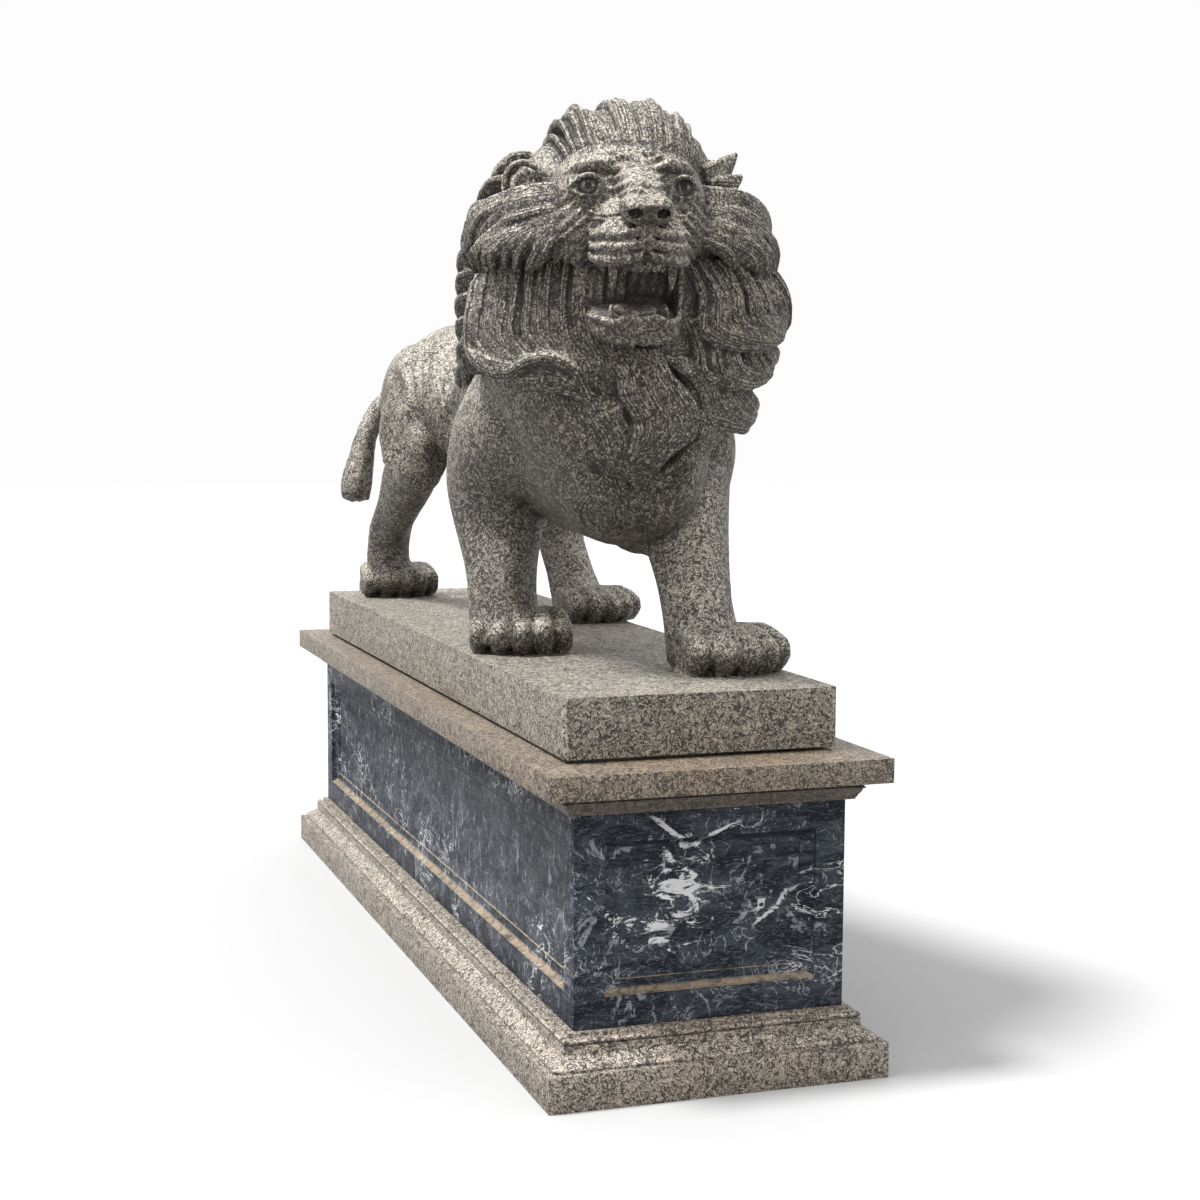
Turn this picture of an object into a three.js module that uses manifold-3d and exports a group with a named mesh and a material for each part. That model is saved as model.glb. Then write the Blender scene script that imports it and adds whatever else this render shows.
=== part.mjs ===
// Garden statue of a roaring, walking lion, carved in one with its slab, on a pedestal of three courses:
// a moulded granite base, a die of veined marble with sunk panels, and a granite cap.
// Millimetres, +Z up. The origin is the middle of the underside, and the lion looks along -Y.

import * as THREE from 'three';
import { mergeVertices } from 'three/addons/utils/BufferGeometryUtils.js';
import Module from 'manifold-3d';

const wasm = await Module();
wasm.setup();

// Driving dimensions of the pedestal.
const joint = 0.3;
const dieWidth = 600;
const dieLength = 2550;
const dieHeight = 445;
const plinthProjection = 75;
const plinthHeight = 75;
const baseMouldingHeight = 67;
const ledgeWidth = 16;
const ledgeRiser = 6;
const slopeHeight = 24;
const slopeDepth = 29;
const upperStep = 5;
const filletWidth = 13;
const filletHeight = 9;
const capProjection = 75;
const capHeight = 58;
const capArris = 4;
const bedMouldingHeight = 35;
const bedMouldingFoot = 26;
const bedMouldingTop = 38;
const panelMarginSide = 52;
const panelMarginTop = 40;
const panelMarginBottom = 62;
const panelDepth = 12;
const panelCoveDepth = 8;
const panelCoveWidth = 16;

// Driving dimensions of the lion's slab, and the height of the lion over it.
const slabWidth = 610;
const slabLength = 2440;
const slabHeight = 127;
const slabCorner = 14;
const slabArris = 5;
const bedRecess = 9;
const bedHeight = 8;
const lionHeight = 1275;

// Heights of the courses, each seated on the one below.
const baseTop = plinthHeight + baseMouldingHeight;
const dieBottom = baseTop + joint;
const dieTop = dieBottom + dieHeight;
const capBottom = dieTop + joint;
const soffit = capBottom + bedMouldingHeight;
const capTop = soffit + capHeight;
const slabBottom = capTop + joint;
const slabTop = slabBottom + bedHeight + slabHeight;

const Y = new THREE.Vector3(0, 1, 0);
const Z = new THREE.Vector3(0, 0, 1);
const degrees = Math.PI / 180;

// Solids

function toSolid(geometry) {
  const bare = geometry.clone();
  bare.deleteAttribute('normal');
  bare.deleteAttribute('uv');
  const merged = mergeVertices(bare, 1e-4);
  const mesh = new wasm.Mesh({
    numProp: 3,
    vertProperties: new Float32Array(merged.attributes.position.array),
    triVerts: new Uint32Array(merged.index.array),
  });
  return new wasm.Manifold(mesh);
}

function toGeometry(solid) {
  const mesh = solid.getMesh();
  const geometry = new THREE.BufferGeometry();
  const positions = new Float32Array(mesh.vertProperties);
  geometry.setAttribute('position', new THREE.BufferAttribute(positions, 3));
  geometry.setIndex(new THREE.BufferAttribute(new Uint32Array(mesh.triVerts), 1));
  return geometry;
}

// Keeps the outer skin of a solid: a pocket that its joined pieces enclose is filled with stone.
function outerSkin(geometry) {
  const index = geometry.index.array;
  const position = geometry.attributes.position;
  const parent = Array.from({ length: position.count }, (_, i) => i);
  const find = (i) => {
    while (parent[i] !== i) {
      parent[i] = parent[parent[i]];
      i = parent[i];
    }
    return i;
  };
  for (let t = 0; t < index.length; t += 3) {
    parent[find(index[t])] = find(index[t + 1]);
    parent[find(index[t + 1])] = find(index[t + 2]);
  }
  const volumes = new Map();
  const corner = (i) => new THREE.Vector3().fromBufferAttribute(position, i);
  for (let t = 0; t < index.length; t += 3) {
    const shell = find(index[t]);
    const share = corner(index[t]).dot(corner(index[t + 1]).cross(corner(index[t + 2]))) / 6;
    volumes.set(shell, (volumes.get(shell) ?? 0) + share);
  }
  const kept = [];
  for (let t = 0; t < index.length; t += 3) {
    if (volumes.get(find(index[t])) > 0) {
      kept.push(index[t], index[t + 1], index[t + 2]);
    }
  }
  geometry.setIndex(kept);
  return geometry;
}

function join(geometries) {
  return geometries.map(toSolid).reduce((whole, piece) => whole.add(piece));
}

// A closed mesh from rings of equal length: quads between neighbours, and a fan to a point at each end.
function skin(rings, first, last) {
  const sides = rings[0].length;
  const points = [...rings.flat(), first, last];
  const start = points.length - 2;
  const end = points.length - 1;
  const index = [];
  for (let j = 0; j < sides; j++) {
    const k = (j + 1) % sides;
    index.push(start, k, j);
    for (let i = 0; i < rings.length - 1; i++) {
      const a = i * sides;
      const b = a + sides;
      index.push(a + j, a + k, b + k, a + j, b + k, b + j);
    }
    const top = (rings.length - 1) * sides;
    index.push(end, top + j, top + k);
  }
  const geometry = new THREE.BufferGeometry();
  const positions = points.flatMap((p) => [p.x, p.y, p.z]);
  geometry.setAttribute('position', new THREE.Float32BufferAttribute(positions, 3));
  geometry.setIndex(index);
  return geometry;
}

// A rounded body through rows of [x, y, z, half width, half depth]. `facing` is the direction of the depth.
function body(rows, { sides = 12, facing = () => Z, square = 2, dome = 0.35, phase = 0.5 } = {}) {
  const centres = rows.map((row) => new THREE.Vector3(row[0], row[1], row[2]));
  const lengthwise = centres.map((_, i) => {
    const before = centres[Math.max(i - 1, 0)];
    const after = centres[Math.min(i + 1, centres.length - 1)];
    return after.clone().sub(before).normalize();
  });
  const rings = rows.map((row, i) => {
    const along = lengthwise[i];
    const outward = facing(centres[i]);
    const depth = outward.clone().addScaledVector(along, -outward.dot(along)).normalize();
    const width = along.clone().cross(depth);
    return Array.from({ length: sides }, (_, j) => {
      const angle = (j + phase) / sides * 2 * Math.PI;
      const c = Math.cos(angle);
      const s = Math.sin(angle);
      return centres[i].clone()
        .addScaledVector(width, -Math.sign(c) * Math.abs(c) ** (2 / square) * row[3])
        .addScaledVector(depth, Math.sign(s) * Math.abs(s) ** (2 / square) * row[4]);
    });
  });
  const end = (i, way) => centres[i].clone()
    .addScaledVector(lengthwise[i], way * dome * Math.min(rows[i][3], rows[i][4]));
  return skin(rings, end(0, -1), end(centres.length - 1, 1));
}

function ball(x, y, z, rx, ry, rz, detail = 1) {
  return new THREE.IcosahedronGeometry(1, detail).scale(rx, ry, rz).translate(x, y, z);
}

// Lion: body and legs, in millimetres over the slab, for a lion as tall as figureHeight.

const figureHeight = 1275;
const front = () => Y.clone().negate();

const torso = body([
  [-15, -900, 470, 120, 125],
  [-8, -780, 480, 190, 215],
  [0, -560, 560, 240, 290],
  [0, -300, 600, 240, 275],
  [0, -60, 590, 225, 262],
  [0, 200, 590, 200, 235],
  [0, 450, 610, 172, 205],
  [0, 680, 632, 185, 200],
  [0, 880, 628, 178, 190],
  [0, 1030, 590, 120, 140],
]);

// A leg from its rows, hip or shoulder first.
const leg = (rows) => body(rows, { sides: 8, facing: front });

const legs = [
  leg([
    [-165, -470, 640, 110, 190],
    [-205, -420, 520, 118, 165],
    [-215, -370, 410, 112, 130],
    [-203, -385, 290, 108, 98],
    [-208, -425, 190, 88, 80],
    [-208, -440, 110, 84, 78],
    [-200, -450, 30, 92, 88],
  ]),
  leg([
    [160, -520, 620, 110, 190],
    [195, -580, 500, 118, 165],
    [175, -640, 400, 108, 130],
    [145, -740, 290, 102, 95],
    [130, -830, 180, 86, 76],
    [125, -880, 100, 84, 74],
    [135, -890, 30, 92, 84],
  ]),
  leg([
    [-105, 810, 640, 95, 170],
    [-138, 740, 520, 108, 190],
    [-150, 720, 420, 96, 150],
    [-158, 830, 310, 76, 96],
    [-165, 950, 215, 66, 64],
    [-165, 985, 120, 66, 60],
    [-150, 985, 40, 78, 74],
  ]),
  leg([
    [105, 770, 640, 95, 170],
    [145, 620, 520, 108, 190],
    [175, 470, 420, 96, 150],
    [192, 420, 310, 76, 100],
    [200, 385, 210, 68, 70],
    [208, 320, 120, 68, 62],
    [215, 260, 40, 78, 74],
  ]),
];

// How far the outer toes stand back from the middle ones, per square of the distance across.
const toeArc = 0.0055;

// A paw of four bent toes on a broad pad, turned about its heel.
function paw(x, y, turn, size) {
  const pad = [[0, 90, 26, 76, 44], [0, 30, 34, 98, 58], [0, -50, 22, 88, 46]];
  const pieces = [body(pad, { sides: 8 })];
  for (const across of [-69, -24, 24, 69]) {
    const back = toeArc * across * across;
    pieces.push(body([
      [across * 0.85, back + 2, 60, 24, 24],
      [across, back - 42, 66, 27, 28],
      [across * 1.14, back - 86, 36, 30, 36],
    ], { sides: 5, dome: 0.9, phase: 0.25 }));
  }
  return pieces.map((piece) => piece.scale(size, size, size).rotateZ(turn * degrees).translate(x, y, 0));
}

const paws = [
  ...paw(-155, -425, 12, 1.0),
  ...paw(170, -930, 12, 1.05),
  ...paw(-122, 1050, 8, 1.0),
  ...paw(235, 170, 16, 0.95),
];

const muscles = [
  ball(55, -700, 395, 125, 130, 148),
  ball(-185, -470, 560, 105, 170, 190),
  ball(190, -520, 550, 105, 170, 190),
  ball(-120, 800, 600, 110, 190, 200),
  ball(120, 760, 600, 110, 190, 200),
];

const tail = body([
  [0, 1000, 660, 70, 60],
  [-80, 1075, 640, 48, 48],
  [-165, 1085, 570, 42, 46],
  [-215, 1060, 470, 42, 50],
  [-235, 1050, 380, 50, 58],
  [-238, 1045, 325, 44, 50],
  [-236, 1040, 288, 20, 22],
], { sides: 8, facing: front });

// Mane: rows of [height, middle x, middle y, half width, half depth].
const maneRows = [
  [380, -15, -760, 100, 100],
  [480, -22, -735, 205, 205],
  [600, -28, -701, 263, 255],
  [697, -20, -691, 304, 283],
  [814, -7, -691, 322, 292],
  [921, -17, -701, 310, 275],
  [1019, -30, -721, 278, 244],
  [1107, -38, -755, 222, 200],
  [1180, -28, -779, 156, 141],
  [1222, -24, -789, 88, 78],
];

function maneRow(height) {
  const last = maneRows.length - 1;
  const i = Math.min(Math.max(maneRows.findIndex((row) => row[0] > height) - 1, 0), last - 1);
  const k = height > maneRows[last][0] ? last - 1 : i;
  const t = (height - maneRows[k][0]) / (maneRows[k + 1][0] - maneRows[k][0]);
  return maneRows[k].map((value, n) => value + t * (maneRows[k + 1][n] - value));
}

// A point over the mane: compass angle from the front (positive to +X), height, and lift off the surface.
function onMane(angle, height, lift) {
  const [, x, y, a, b] = maneRow(height);
  const turn = angle * degrees;
  return [x + (a + lift) * Math.sin(turn), y - (b + lift) * Math.cos(turn), height];
}

const maneMiddle = new THREE.Vector3(-20, -700, 900);
const maneFlattening = new THREE.Vector3(1, 1, 0.5);
const fromManeAxis = (p) => p.clone().sub(maneMiddle).multiply(maneFlattening);

const maneCore = body(maneRows.map(([h, x, y, a, b]) => [x, y, h, a, b]), {
  sides: 16,
  facing: front,
});
const nape = body([
  [-30, -745, 930, 250, 215],
  [-18, -540, 850, 258, 232],
  [-5, -300, 745, 240, 205],
  [0, -100, 662, 200, 160],
]);

// A lock's width at its root, where along it the belly is, and how it narrows from there to the tip.
const lockRoot = 0.55;
const lockBelly = 0.45;
const lockTaper = 1.78;
const lockTaperPower = 1.3;
const lockTipDepth = 0.25;

// One carved lock: a ridged strand along a curve from a narrower root over a full belly to a pointed tip.
function lock(points, width, thickness, facing = fromManeAxis) {
  const rows = points.map((p, i) => {
    const t = i / (points.length - 1);
    const opening = lockRoot + (1 - lockRoot) * Math.sin(Math.min(t / lockBelly, 1) * Math.PI / 2);
    const swell = opening - lockTaper * Math.max(t - lockBelly, 0) ** lockTaperPower;
    return [...p, width * swell, thickness * Math.max(swell, lockTipDepth)];
  });
  return body(rows, { sides: 4, facing, phase: 0, dome: 0.8 });
}

const maneLock = (stops, width, thickness) => lock(stops.map((s) => onMane(...s)), width, thickness);
const mix = (a, b, t) => a + (b - a) * t;

const locks = [];
for (const side of [-1, 1]) {
  // Cheek ruff: strands fan from beside the face, out and down over the recessed neck.
  const ruff = 5;
  const reach = side < 0 ? 0 : -16;
  for (let i = 0; i < ruff; i++) {
    const t = i / (ruff - 1);
    locks.push(maneLock([
      [side * mix(30, 52, t), mix(925, 1060, t), 34],
      [side * mix(44, 74, t), mix(925, 1065, t), 62 + reach],
      [side * mix(58, 92, t), mix(900, 1020, t), 52 + reach],
      [side * mix(64, 104, t), mix(862, 950, t), 30 + reach],
    ], 26, 32));
  }
  // Side of the neck, behind the ruff: wavy locks one over another, swept back.
  const swept = 4;
  for (let i = 0; i < swept; i++) {
    const t = i / (swept - 1);
    locks.push(maneLock([
      [side * 90, mix(690, 1050, t), 0],
      [side * 108, mix(722, 1085, t), 30],
      [side * 128, mix(690, 1055, t), 28],
      [side * 146, mix(655, 1010, t), 12],
    ], 36, 38));
  }
}

// Hanging tier at the lion's right: strands fall from the ruff, then sweep forward along the hem of the mane.
const hanging = 5;
for (let i = 0; i < hanging; i++) {
  const t = i / (hanging - 1);
  locks.push(maneLock([
    [-mix(26, 92, t), mix(860, 900, t), 6],
    [-mix(30, 96, t), mix(770, 790, t), 34],
    [-mix(30, 86, t), mix(700, 690, t), 44],
    [-mix(20, 58, t), mix(650, 662, t), 44],
    [-mix(12, 26, t), mix(596, 640, t), 30],
  ], 28, 36));
}

// Hanging tier at the lion's left: the tips curl outwards in three steps.
const falls = [
  [880, 800, 772, 812, 4],
  [800, 716, 690, 722, 3],
  [700, 630, 592, 566, 2],
];
for (const [root, belly, bend, tip, count] of falls) {
  for (let i = 0; i < count; i++) {
    const t = i / Math.max(count - 1, 1);
    locks.push(maneLock([
      [mix(22, 58, t), root, 4],
      [mix(24, 64, t), belly, 40],
      [mix(36, 78, t), bend, 62],
      [mix(52, 94, t), tip, 66],
    ], 32, 40));
  }
}

// Crown: strands rise from the forehead and sweep back over the top.
const crown = 7;
for (let i = 0; i < crown; i++) {
  const t = i / (crown - 1);
  const across = mix(-1, 1, t);
  const rise = 1 - across * across;
  locks.push(lock([
    [across * 137 - 38, -920 + 50 * Math.abs(across), 1107 + 29 * rise],
    [across * 132 - 26, -896, 1154 + 70 * rise],
    [across * 132 - 18, -808, 1165 + 76 * rise],
    [across * 127 - 18, -691, 1117 + 76 * rise],
  ], 22, 30, () => Z));
}

// Beard: wavy locks from the chin down over the chest.
locks.push(maneLock([[-4, 720, 20], [-10, 640, 60], [6, 560, 50], [-2, 470, 70], [2, 420, 60]], 34, 40));
locks.push(maneLock([[8, 700, 10], [14, 620, 50], [6, 540, 45], [14, 470, 40]], 32, 36));
locks.push(maneLock([[-14, 700, 10], [-22, 620, 50], [-12, 540, 45], [-20, 460, 40]], 32, 36));

// Head, in its own frame: x across, -y along the muzzle, z up, at the middle of the skull.
const headPlace = new THREE.Matrix4().makeTranslation(-53, -930, 995)
  .multiply(new THREE.Matrix4().makeRotationZ(-9 * degrees))
  .multiply(new THREE.Matrix4().makeScale(0.975, 0.975, 0.975));

const pair = (make) => [make(-1), make(1)];

const canine = (x, y, z, radius, height, way) => new THREE.ConeGeometry(radius, height, 7)
  .rotateX(way * Math.PI / 2).translate(x, y, z);

const head = [
  body([
    [0, 210, 20, 60, 60],
    [0, 120, 20, 150, 140],
    [0, 20, 22, 178, 162],
    [0, -70, 26, 162, 138],
    [0, -135, 26, 90, 80],
  ]),
  ...pair((s) => ball(s * 80, -66, 102, 76, 52, 36)),
  ...pair((s) => ball(s * 112, -22, -30, 66, 92, 84)),
  body([[0, -20, 95, 80, 55], [0, -110, 70, 60, 42], [0, -190, 32, 50, 36], [0, -232, 8, 46, 26]], {
    sides: 8,
  }),
  body([[0, -60, -35, 108, 82], [0, -150, -40, 100, 72], [0, -215, -45, 78, 56]], {
    sides: 10,
    square: 2.6,
  }),
  ...pair((s) => ball(s * 50, -190, -68, 50, 60, 50)),
  body([[0, -225, 8, 52, 22], [0, -262, -6, 40, 24]], { sides: 8 }),
  ...pair((s) => ball(s * 106, -82, 54, 29, 29, 24, 0)),
  body([[0, -10, -205, 104, 50], [0, -110, -252, 96, 36], [0, -170, -262, 80, 32]], {
    sides: 10,
    square: 2.6,
  }),
  ball(0, -145, -292, 56, 42, 32),
  body([[0, -40, -215, 52, 20], [0, -110, -224, 52, 18], [0, -160, -230, 40, 12]], { sides: 8 }),
  ...pair((s) => body([
    [s * 100, -66, -60, 9, 60],
    [s * 100, -70, -150, 9, 50],
    [s * 98, -72, -245, 9, 60],
  ], { sides: 6, facing: front })),
  ...pair((s) => canine(s * 46, -190, -128, 12, 52, -1)),
  ...pair((s) => canine(s * 46, -152, -212, 11, 44, 1)),
];

// An ear: a cupped shell, pointed at its tip.
const ear = (s) => {
  const shell = ball(0, 0, 0, 58, 34, 70);
  const bowl = ball(0, -34, 4, 40, 34, 52);
  return toGeometry(toSolid(shell).subtract(toSolid(bowl)))
    .rotateZ(s * 34 * degrees).translate(s * 222, 60, 88);
};
head.push(...pair(ear));
head.forEach((piece) => piece.applyMatrix4(headPlace));

// The lion stands on the slab, and is one block with it.
const rise = lionHeight / figureHeight;
const figure = [torso, ...muscles, ...legs, ...paws, tail, maneCore, nape, ...locks, ...head]
  .map((piece) => piece.scale(rise, rise, rise).translate(0, 0, slabTop));

// The outline of a rectangle with its corners cut off, about the middle.
function cutCornered(width, length, cut) {
  const [w, l] = [width / 2, length / 2];
  return [
    [w - cut, -l],
    [w, -l + cut],
    [w, l - cut],
    [w - cut, l],
    [-w + cut, l],
    [-w, l - cut],
    [-w, -l + cut],
    [-w + cut, -l],
  ];
}

// A course with a moulded edge: rows of [height, projection past the die], mitred at the four corners.
function course(profile) {
  const rings = profile.map(([height, out]) => [[1, -1], [1, 1], [-1, 1], [-1, -1]]
    .map(([i, j]) => new THREE.Vector3(i * (dieWidth / 2 + out), j * (dieLength / 2 + out), height)));
  const centre = (row) => new THREE.Vector3(0, 0, row[0]);
  return skin(rings, centre(profile[0]), centre(profile.at(-1)));
}

const slabUnderside = slabTop - slabHeight;
const slabRings = [
  [0, slabArris],
  [slabArris, 0],
  [slabHeight - slabArris, 0],
  [slabHeight, slabArris],
].map(([height, inset]) => cutCornered(slabWidth - 2 * inset, slabLength - 2 * inset, slabCorner)
  .map(([x, y]) => new THREE.Vector3(x, y, slabUnderside + height)));
const slab = skin(slabRings, new THREE.Vector3(0, 0, slabUnderside), new THREE.Vector3(0, 0, slabTop));

// The slab's bed stands in from its edge. It runs a little way up into the slab, with which it is one block.
const bedOverlap = 1;
const bedRings = [slabBottom, slabUnderside + bedOverlap]
  .map((height) => cutCornered(slabWidth - 2 * bedRecess, slabLength - 2 * bedRecess, slabCorner)
    .map(([x, y]) => new THREE.Vector3(x, y, height)));
const slabFoot = skin(
  bedRings,
  new THREE.Vector3(0, 0, slabBottom),
  new THREE.Vector3(0, 0, slabUnderside + bedOverlap),
);

const lionSolid = join([slab, slabFoot, ...figure]);

// Base: a plain plinth, a narrow ledge, an ogee slope, a riser and a fillet that carries the die.
const ledgeEdge = plinthProjection - ledgeWidth;
const slopeFoot = plinthHeight + ledgeRiser;
const riserFace = ledgeEdge - slopeDepth;
const base = course([
  [0, plinthProjection],
  [plinthHeight, plinthProjection],
  [plinthHeight, ledgeEdge],
  [slopeFoot, ledgeEdge],
  [slopeFoot + 0.3 * slopeHeight, ledgeEdge - 0.3 * slopeDepth],
  [slopeFoot + 0.7 * slopeHeight, ledgeEdge - 0.8 * slopeDepth],
  [slopeFoot + slopeHeight, riserFace],
  [baseTop - 2 * filletHeight, riserFace],
  [baseTop - 1.25 * filletHeight, riserFace - upperStep],
  [baseTop - filletHeight, filletWidth],
  [baseTop, filletWidth],
]);

// Cap: a square-edged slab over a bed moulding that widens from its foot to the soffit.
const bedMouldingSpread = bedMouldingTop - bedMouldingFoot;
const cap = course([
  [capBottom, bedMouldingFoot],
  [capBottom + 0.2 * bedMouldingHeight, bedMouldingFoot + 0.4 * bedMouldingSpread],
  [capBottom + 0.66 * bedMouldingHeight, bedMouldingFoot + 0.75 * bedMouldingSpread],
  [capBottom + 0.78 * bedMouldingHeight, bedMouldingTop],
  [soffit, bedMouldingTop],
  [soffit, capProjection],
  [capTop - capArris, capProjection],
  [capTop, capProjection - capArris],
]);

// Die: a plain block with a sunk panel on each side. The panel's edge is a cove with a small step inside it.
// Each panel is cut from clear of the face inwards.
const clearOfFace = 20;
function panelCutter(faceWidth, faceDistance) {
  const low = dieBottom + panelMarginBottom;
  const high = dieTop - panelMarginTop;
  const half = faceWidth / 2 - panelMarginSide;
  const rings = [[-clearOfFace, 0], [0, 0], [panelCoveDepth, panelCoveWidth], [panelDepth, panelCoveWidth]]
    .map(([deep, inset]) => [[-1, -1], [-1, 1], [1, 1], [1, -1]].map(([i, j]) => new THREE.Vector3(
      i * (half - inset),
      deep - faceDistance,
      j < 0 ? low + inset : high - inset,
    )));
  const middle = (low + high) / 2;
  const onAxis = (deep) => new THREE.Vector3(0, deep - faceDistance, middle);
  return skin(rings, onAxis(-clearOfFace), onAxis(panelDepth));
}

const dieBlock = new THREE.BoxGeometry(dieWidth, dieLength, dieHeight)
  .translate(0, 0, dieBottom + dieHeight / 2);
const panels = [0, 1, 2, 3].map((quarter) => {
  const onEnd = quarter % 2 === 0;
  const cutter = onEnd ? panelCutter(dieWidth, dieLength / 2) : panelCutter(dieLength, dieWidth / 2);
  return cutter.rotateZ(quarter * Math.PI / 2);
});
const dieSolid = panels.map(toSolid).reduce((block, cutter) => block.subtract(cutter), toSolid(dieBlock));

const granite = new THREE.MeshStandardMaterial({ color: 0x9c9180, roughness: 0.75, metalness: 0 });
const capGranite = new THREE.MeshStandardMaterial({ color: 0x9a8465, roughness: 0.7, metalness: 0 });
const baseGranite = new THREE.MeshStandardMaterial({ color: 0x97886f, roughness: 0.75, metalness: 0 });
const marble = new THREE.MeshStandardMaterial({ color: 0x34373d, roughness: 0.3, metalness: 0 });

const group = new THREE.Group();
function piece(name, geometry, material) {
  const mesh = new THREE.Mesh(geometry, material);
  mesh.name = name;
  group.add(mesh);
}
piece('base', base, baseGranite);
piece('die', toGeometry(dieSolid), marble);
piece('cap', cap, capGranite);
piece('lion', outerSkin(toGeometry(lionSolid)), granite);

export default group;
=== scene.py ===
# A carved granite lion, walking and roaring, in one block with its slab, on a pedestal of three courses.
# Metres, +Z up, and the lion looks along -Y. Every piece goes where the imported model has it.

import math

import bpy
import numpy as np
from mathutils import Matrix, Vector
from mathutils.kdtree import KDTree


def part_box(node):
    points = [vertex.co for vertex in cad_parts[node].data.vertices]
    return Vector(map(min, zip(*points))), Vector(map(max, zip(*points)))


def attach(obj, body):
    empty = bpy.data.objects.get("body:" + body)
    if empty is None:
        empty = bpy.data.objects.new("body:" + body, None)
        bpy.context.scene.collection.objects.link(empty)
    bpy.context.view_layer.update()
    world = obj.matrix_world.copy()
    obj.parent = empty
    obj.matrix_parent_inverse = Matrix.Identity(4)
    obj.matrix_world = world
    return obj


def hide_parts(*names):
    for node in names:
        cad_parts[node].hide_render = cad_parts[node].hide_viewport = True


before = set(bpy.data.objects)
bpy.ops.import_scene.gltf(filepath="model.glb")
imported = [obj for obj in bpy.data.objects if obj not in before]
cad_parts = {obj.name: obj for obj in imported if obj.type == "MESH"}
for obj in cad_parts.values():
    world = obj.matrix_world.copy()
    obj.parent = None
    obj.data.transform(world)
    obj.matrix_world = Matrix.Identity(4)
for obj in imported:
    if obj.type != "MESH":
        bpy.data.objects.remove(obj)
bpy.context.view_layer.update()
bpy.ops.object.select_all(action="DESELECT")


# Camera
# It stands in front of the lion at its right, at eye height, and looks slightly down along the pedestal.
camera_place = Vector((-1.53249, -5.03105, 1.40463))
camera_yaw = 0.329429
camera_pitch = -0.096580
camera_roll = 0.005899
camera_lens = 60.0
camera_sensor = 36.0

bpy.ops.object.camera_add(location=camera_place)
camera = bpy.context.object
ahead = Vector((
    math.sin(camera_yaw) * math.cos(camera_pitch),
    math.cos(camera_yaw) * math.cos(camera_pitch),
    math.sin(camera_pitch),
))
level = Vector((math.cos(camera_yaw), -math.sin(camera_yaw), 0))
over = level.cross(ahead)
right = level * math.cos(camera_roll) + over * math.sin(camera_roll)
top = over * math.cos(camera_roll) - level * math.sin(camera_roll)
camera.matrix_world = Matrix.Translation(camera_place) @ Matrix((right, top, -ahead)).transposed().to_4x4()
camera.data.lens = camera_lens
camera.data.sensor_width = camera_sensor
camera.data.sensor_fit = "HORIZONTAL"
bpy.context.scene.camera = camera


# Base
# The moulded foot of the pedestal, one block of honed granite: a square plinth, then a ledge, an ogee,
# a riser, a half round and a fillet on which the die stands, mitred at the four corners.
die_low, die_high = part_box("die")
die_half_width = die_high.x
die_half_length = die_high.y
base_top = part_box("base")[1].z

plinth_projection = 0.075
plinth_height = 0.075
ledge_width = 0.016
ledge_groove = 0.002
ledge_riser = 0.006
slope_height = 0.024
slope_depth = 0.029
torus_height = 0.012
torus_depth = 0.007
fillet_height = 0.009
fillet_width = 0.013
stone_arris = 0.0014


def select_faces(mesh, wanted):
    """Selects, from edit mode, the faces that `wanted` picks by their centre and normal."""
    bpy.ops.mesh.select_mode(type="FACE")
    bpy.ops.mesh.select_all(action="DESELECT")
    bpy.ops.object.mode_set(mode="OBJECT")
    for polygon in mesh.polygons:
        polygon.select = wanted(polygon.center, polygon.normal)
    bpy.ops.object.mode_set(mode="EDIT")


def settle(piece):
    """Applies a piece's place, so that its object sits at the origin and its place is in its mesh."""
    bpy.ops.object.mode_set(mode="OBJECT")
    bpy.ops.object.select_all(action="DESELECT")
    piece.select_set(True)
    bpy.context.view_layer.objects.active = piece
    bpy.ops.object.transform_apply(location=True, rotation=True, scale=True)


def apply_modifiers(piece):
    bpy.context.view_layer.objects.active = piece
    for modifier in list(piece.modifiers):
        bpy.ops.object.modifier_apply(modifier=modifier.name)


def ease_arrises(piece, width, segments=2, angle=25):
    """Takes the sharpness off a block's edges, as a mason does, and shades its faces flat between them."""
    bevel = piece.modifiers.new("arris", "BEVEL")
    bevel.width = width
    bevel.segments = segments
    bevel.limit_method = "ANGLE"
    bevel.angle_limit = math.radians(angle)
    apply_modifiers(piece)
    bpy.ops.object.shade_smooth_by_angle(angle=math.radians(40))


def moulded_course(name, profile):
    """A course as wide as its moulding: a block whose top is drawn up, in and out through the profile.

    The profile's rows are (height, projection past the die), from the bottom up."""
    (low, out), (high, _) = profile[:2]
    bpy.ops.mesh.primitive_cube_add(size=1, location=(0, 0, (low + high) / 2))
    piece = bpy.context.object
    piece.name = name
    half = [die_half_width + out, die_half_length + out]
    piece.scale = (2 * half[0], 2 * half[1], high - low)
    settle(piece)
    bpy.ops.object.mode_set(mode="EDIT")
    select_faces(piece.data, lambda centre, normal: normal.z > 0.9)
    height = high
    for next_height, next_out in profile[2:]:
        bpy.ops.mesh.extrude_region_move(TRANSFORM_OT_translate={"value": (0, 0, next_height - height)})
        wide = [die_half_width + next_out, die_half_length + next_out]
        bpy.ops.transform.resize(
            value=(wide[0] / half[0], wide[1] / half[1], 1),
            center_override=(0, 0, next_height),
        )
        height, half = next_height, wide
    bpy.ops.object.mode_set(mode="OBJECT")
    return piece


def s_curve(start, end, steps):
    """An ogee between two rows of a profile: hollow at its foot and round at its top."""
    (z0, out0), (z1, out1) = start, end
    rows = []
    for i in range(1, steps + 1):
        t = i / steps
        rows.append((z0 + t * (z1 - z0), out0 + (out1 - out0) * (0.5 - 0.5 * math.cos(math.pi * t))))
    return rows


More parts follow.
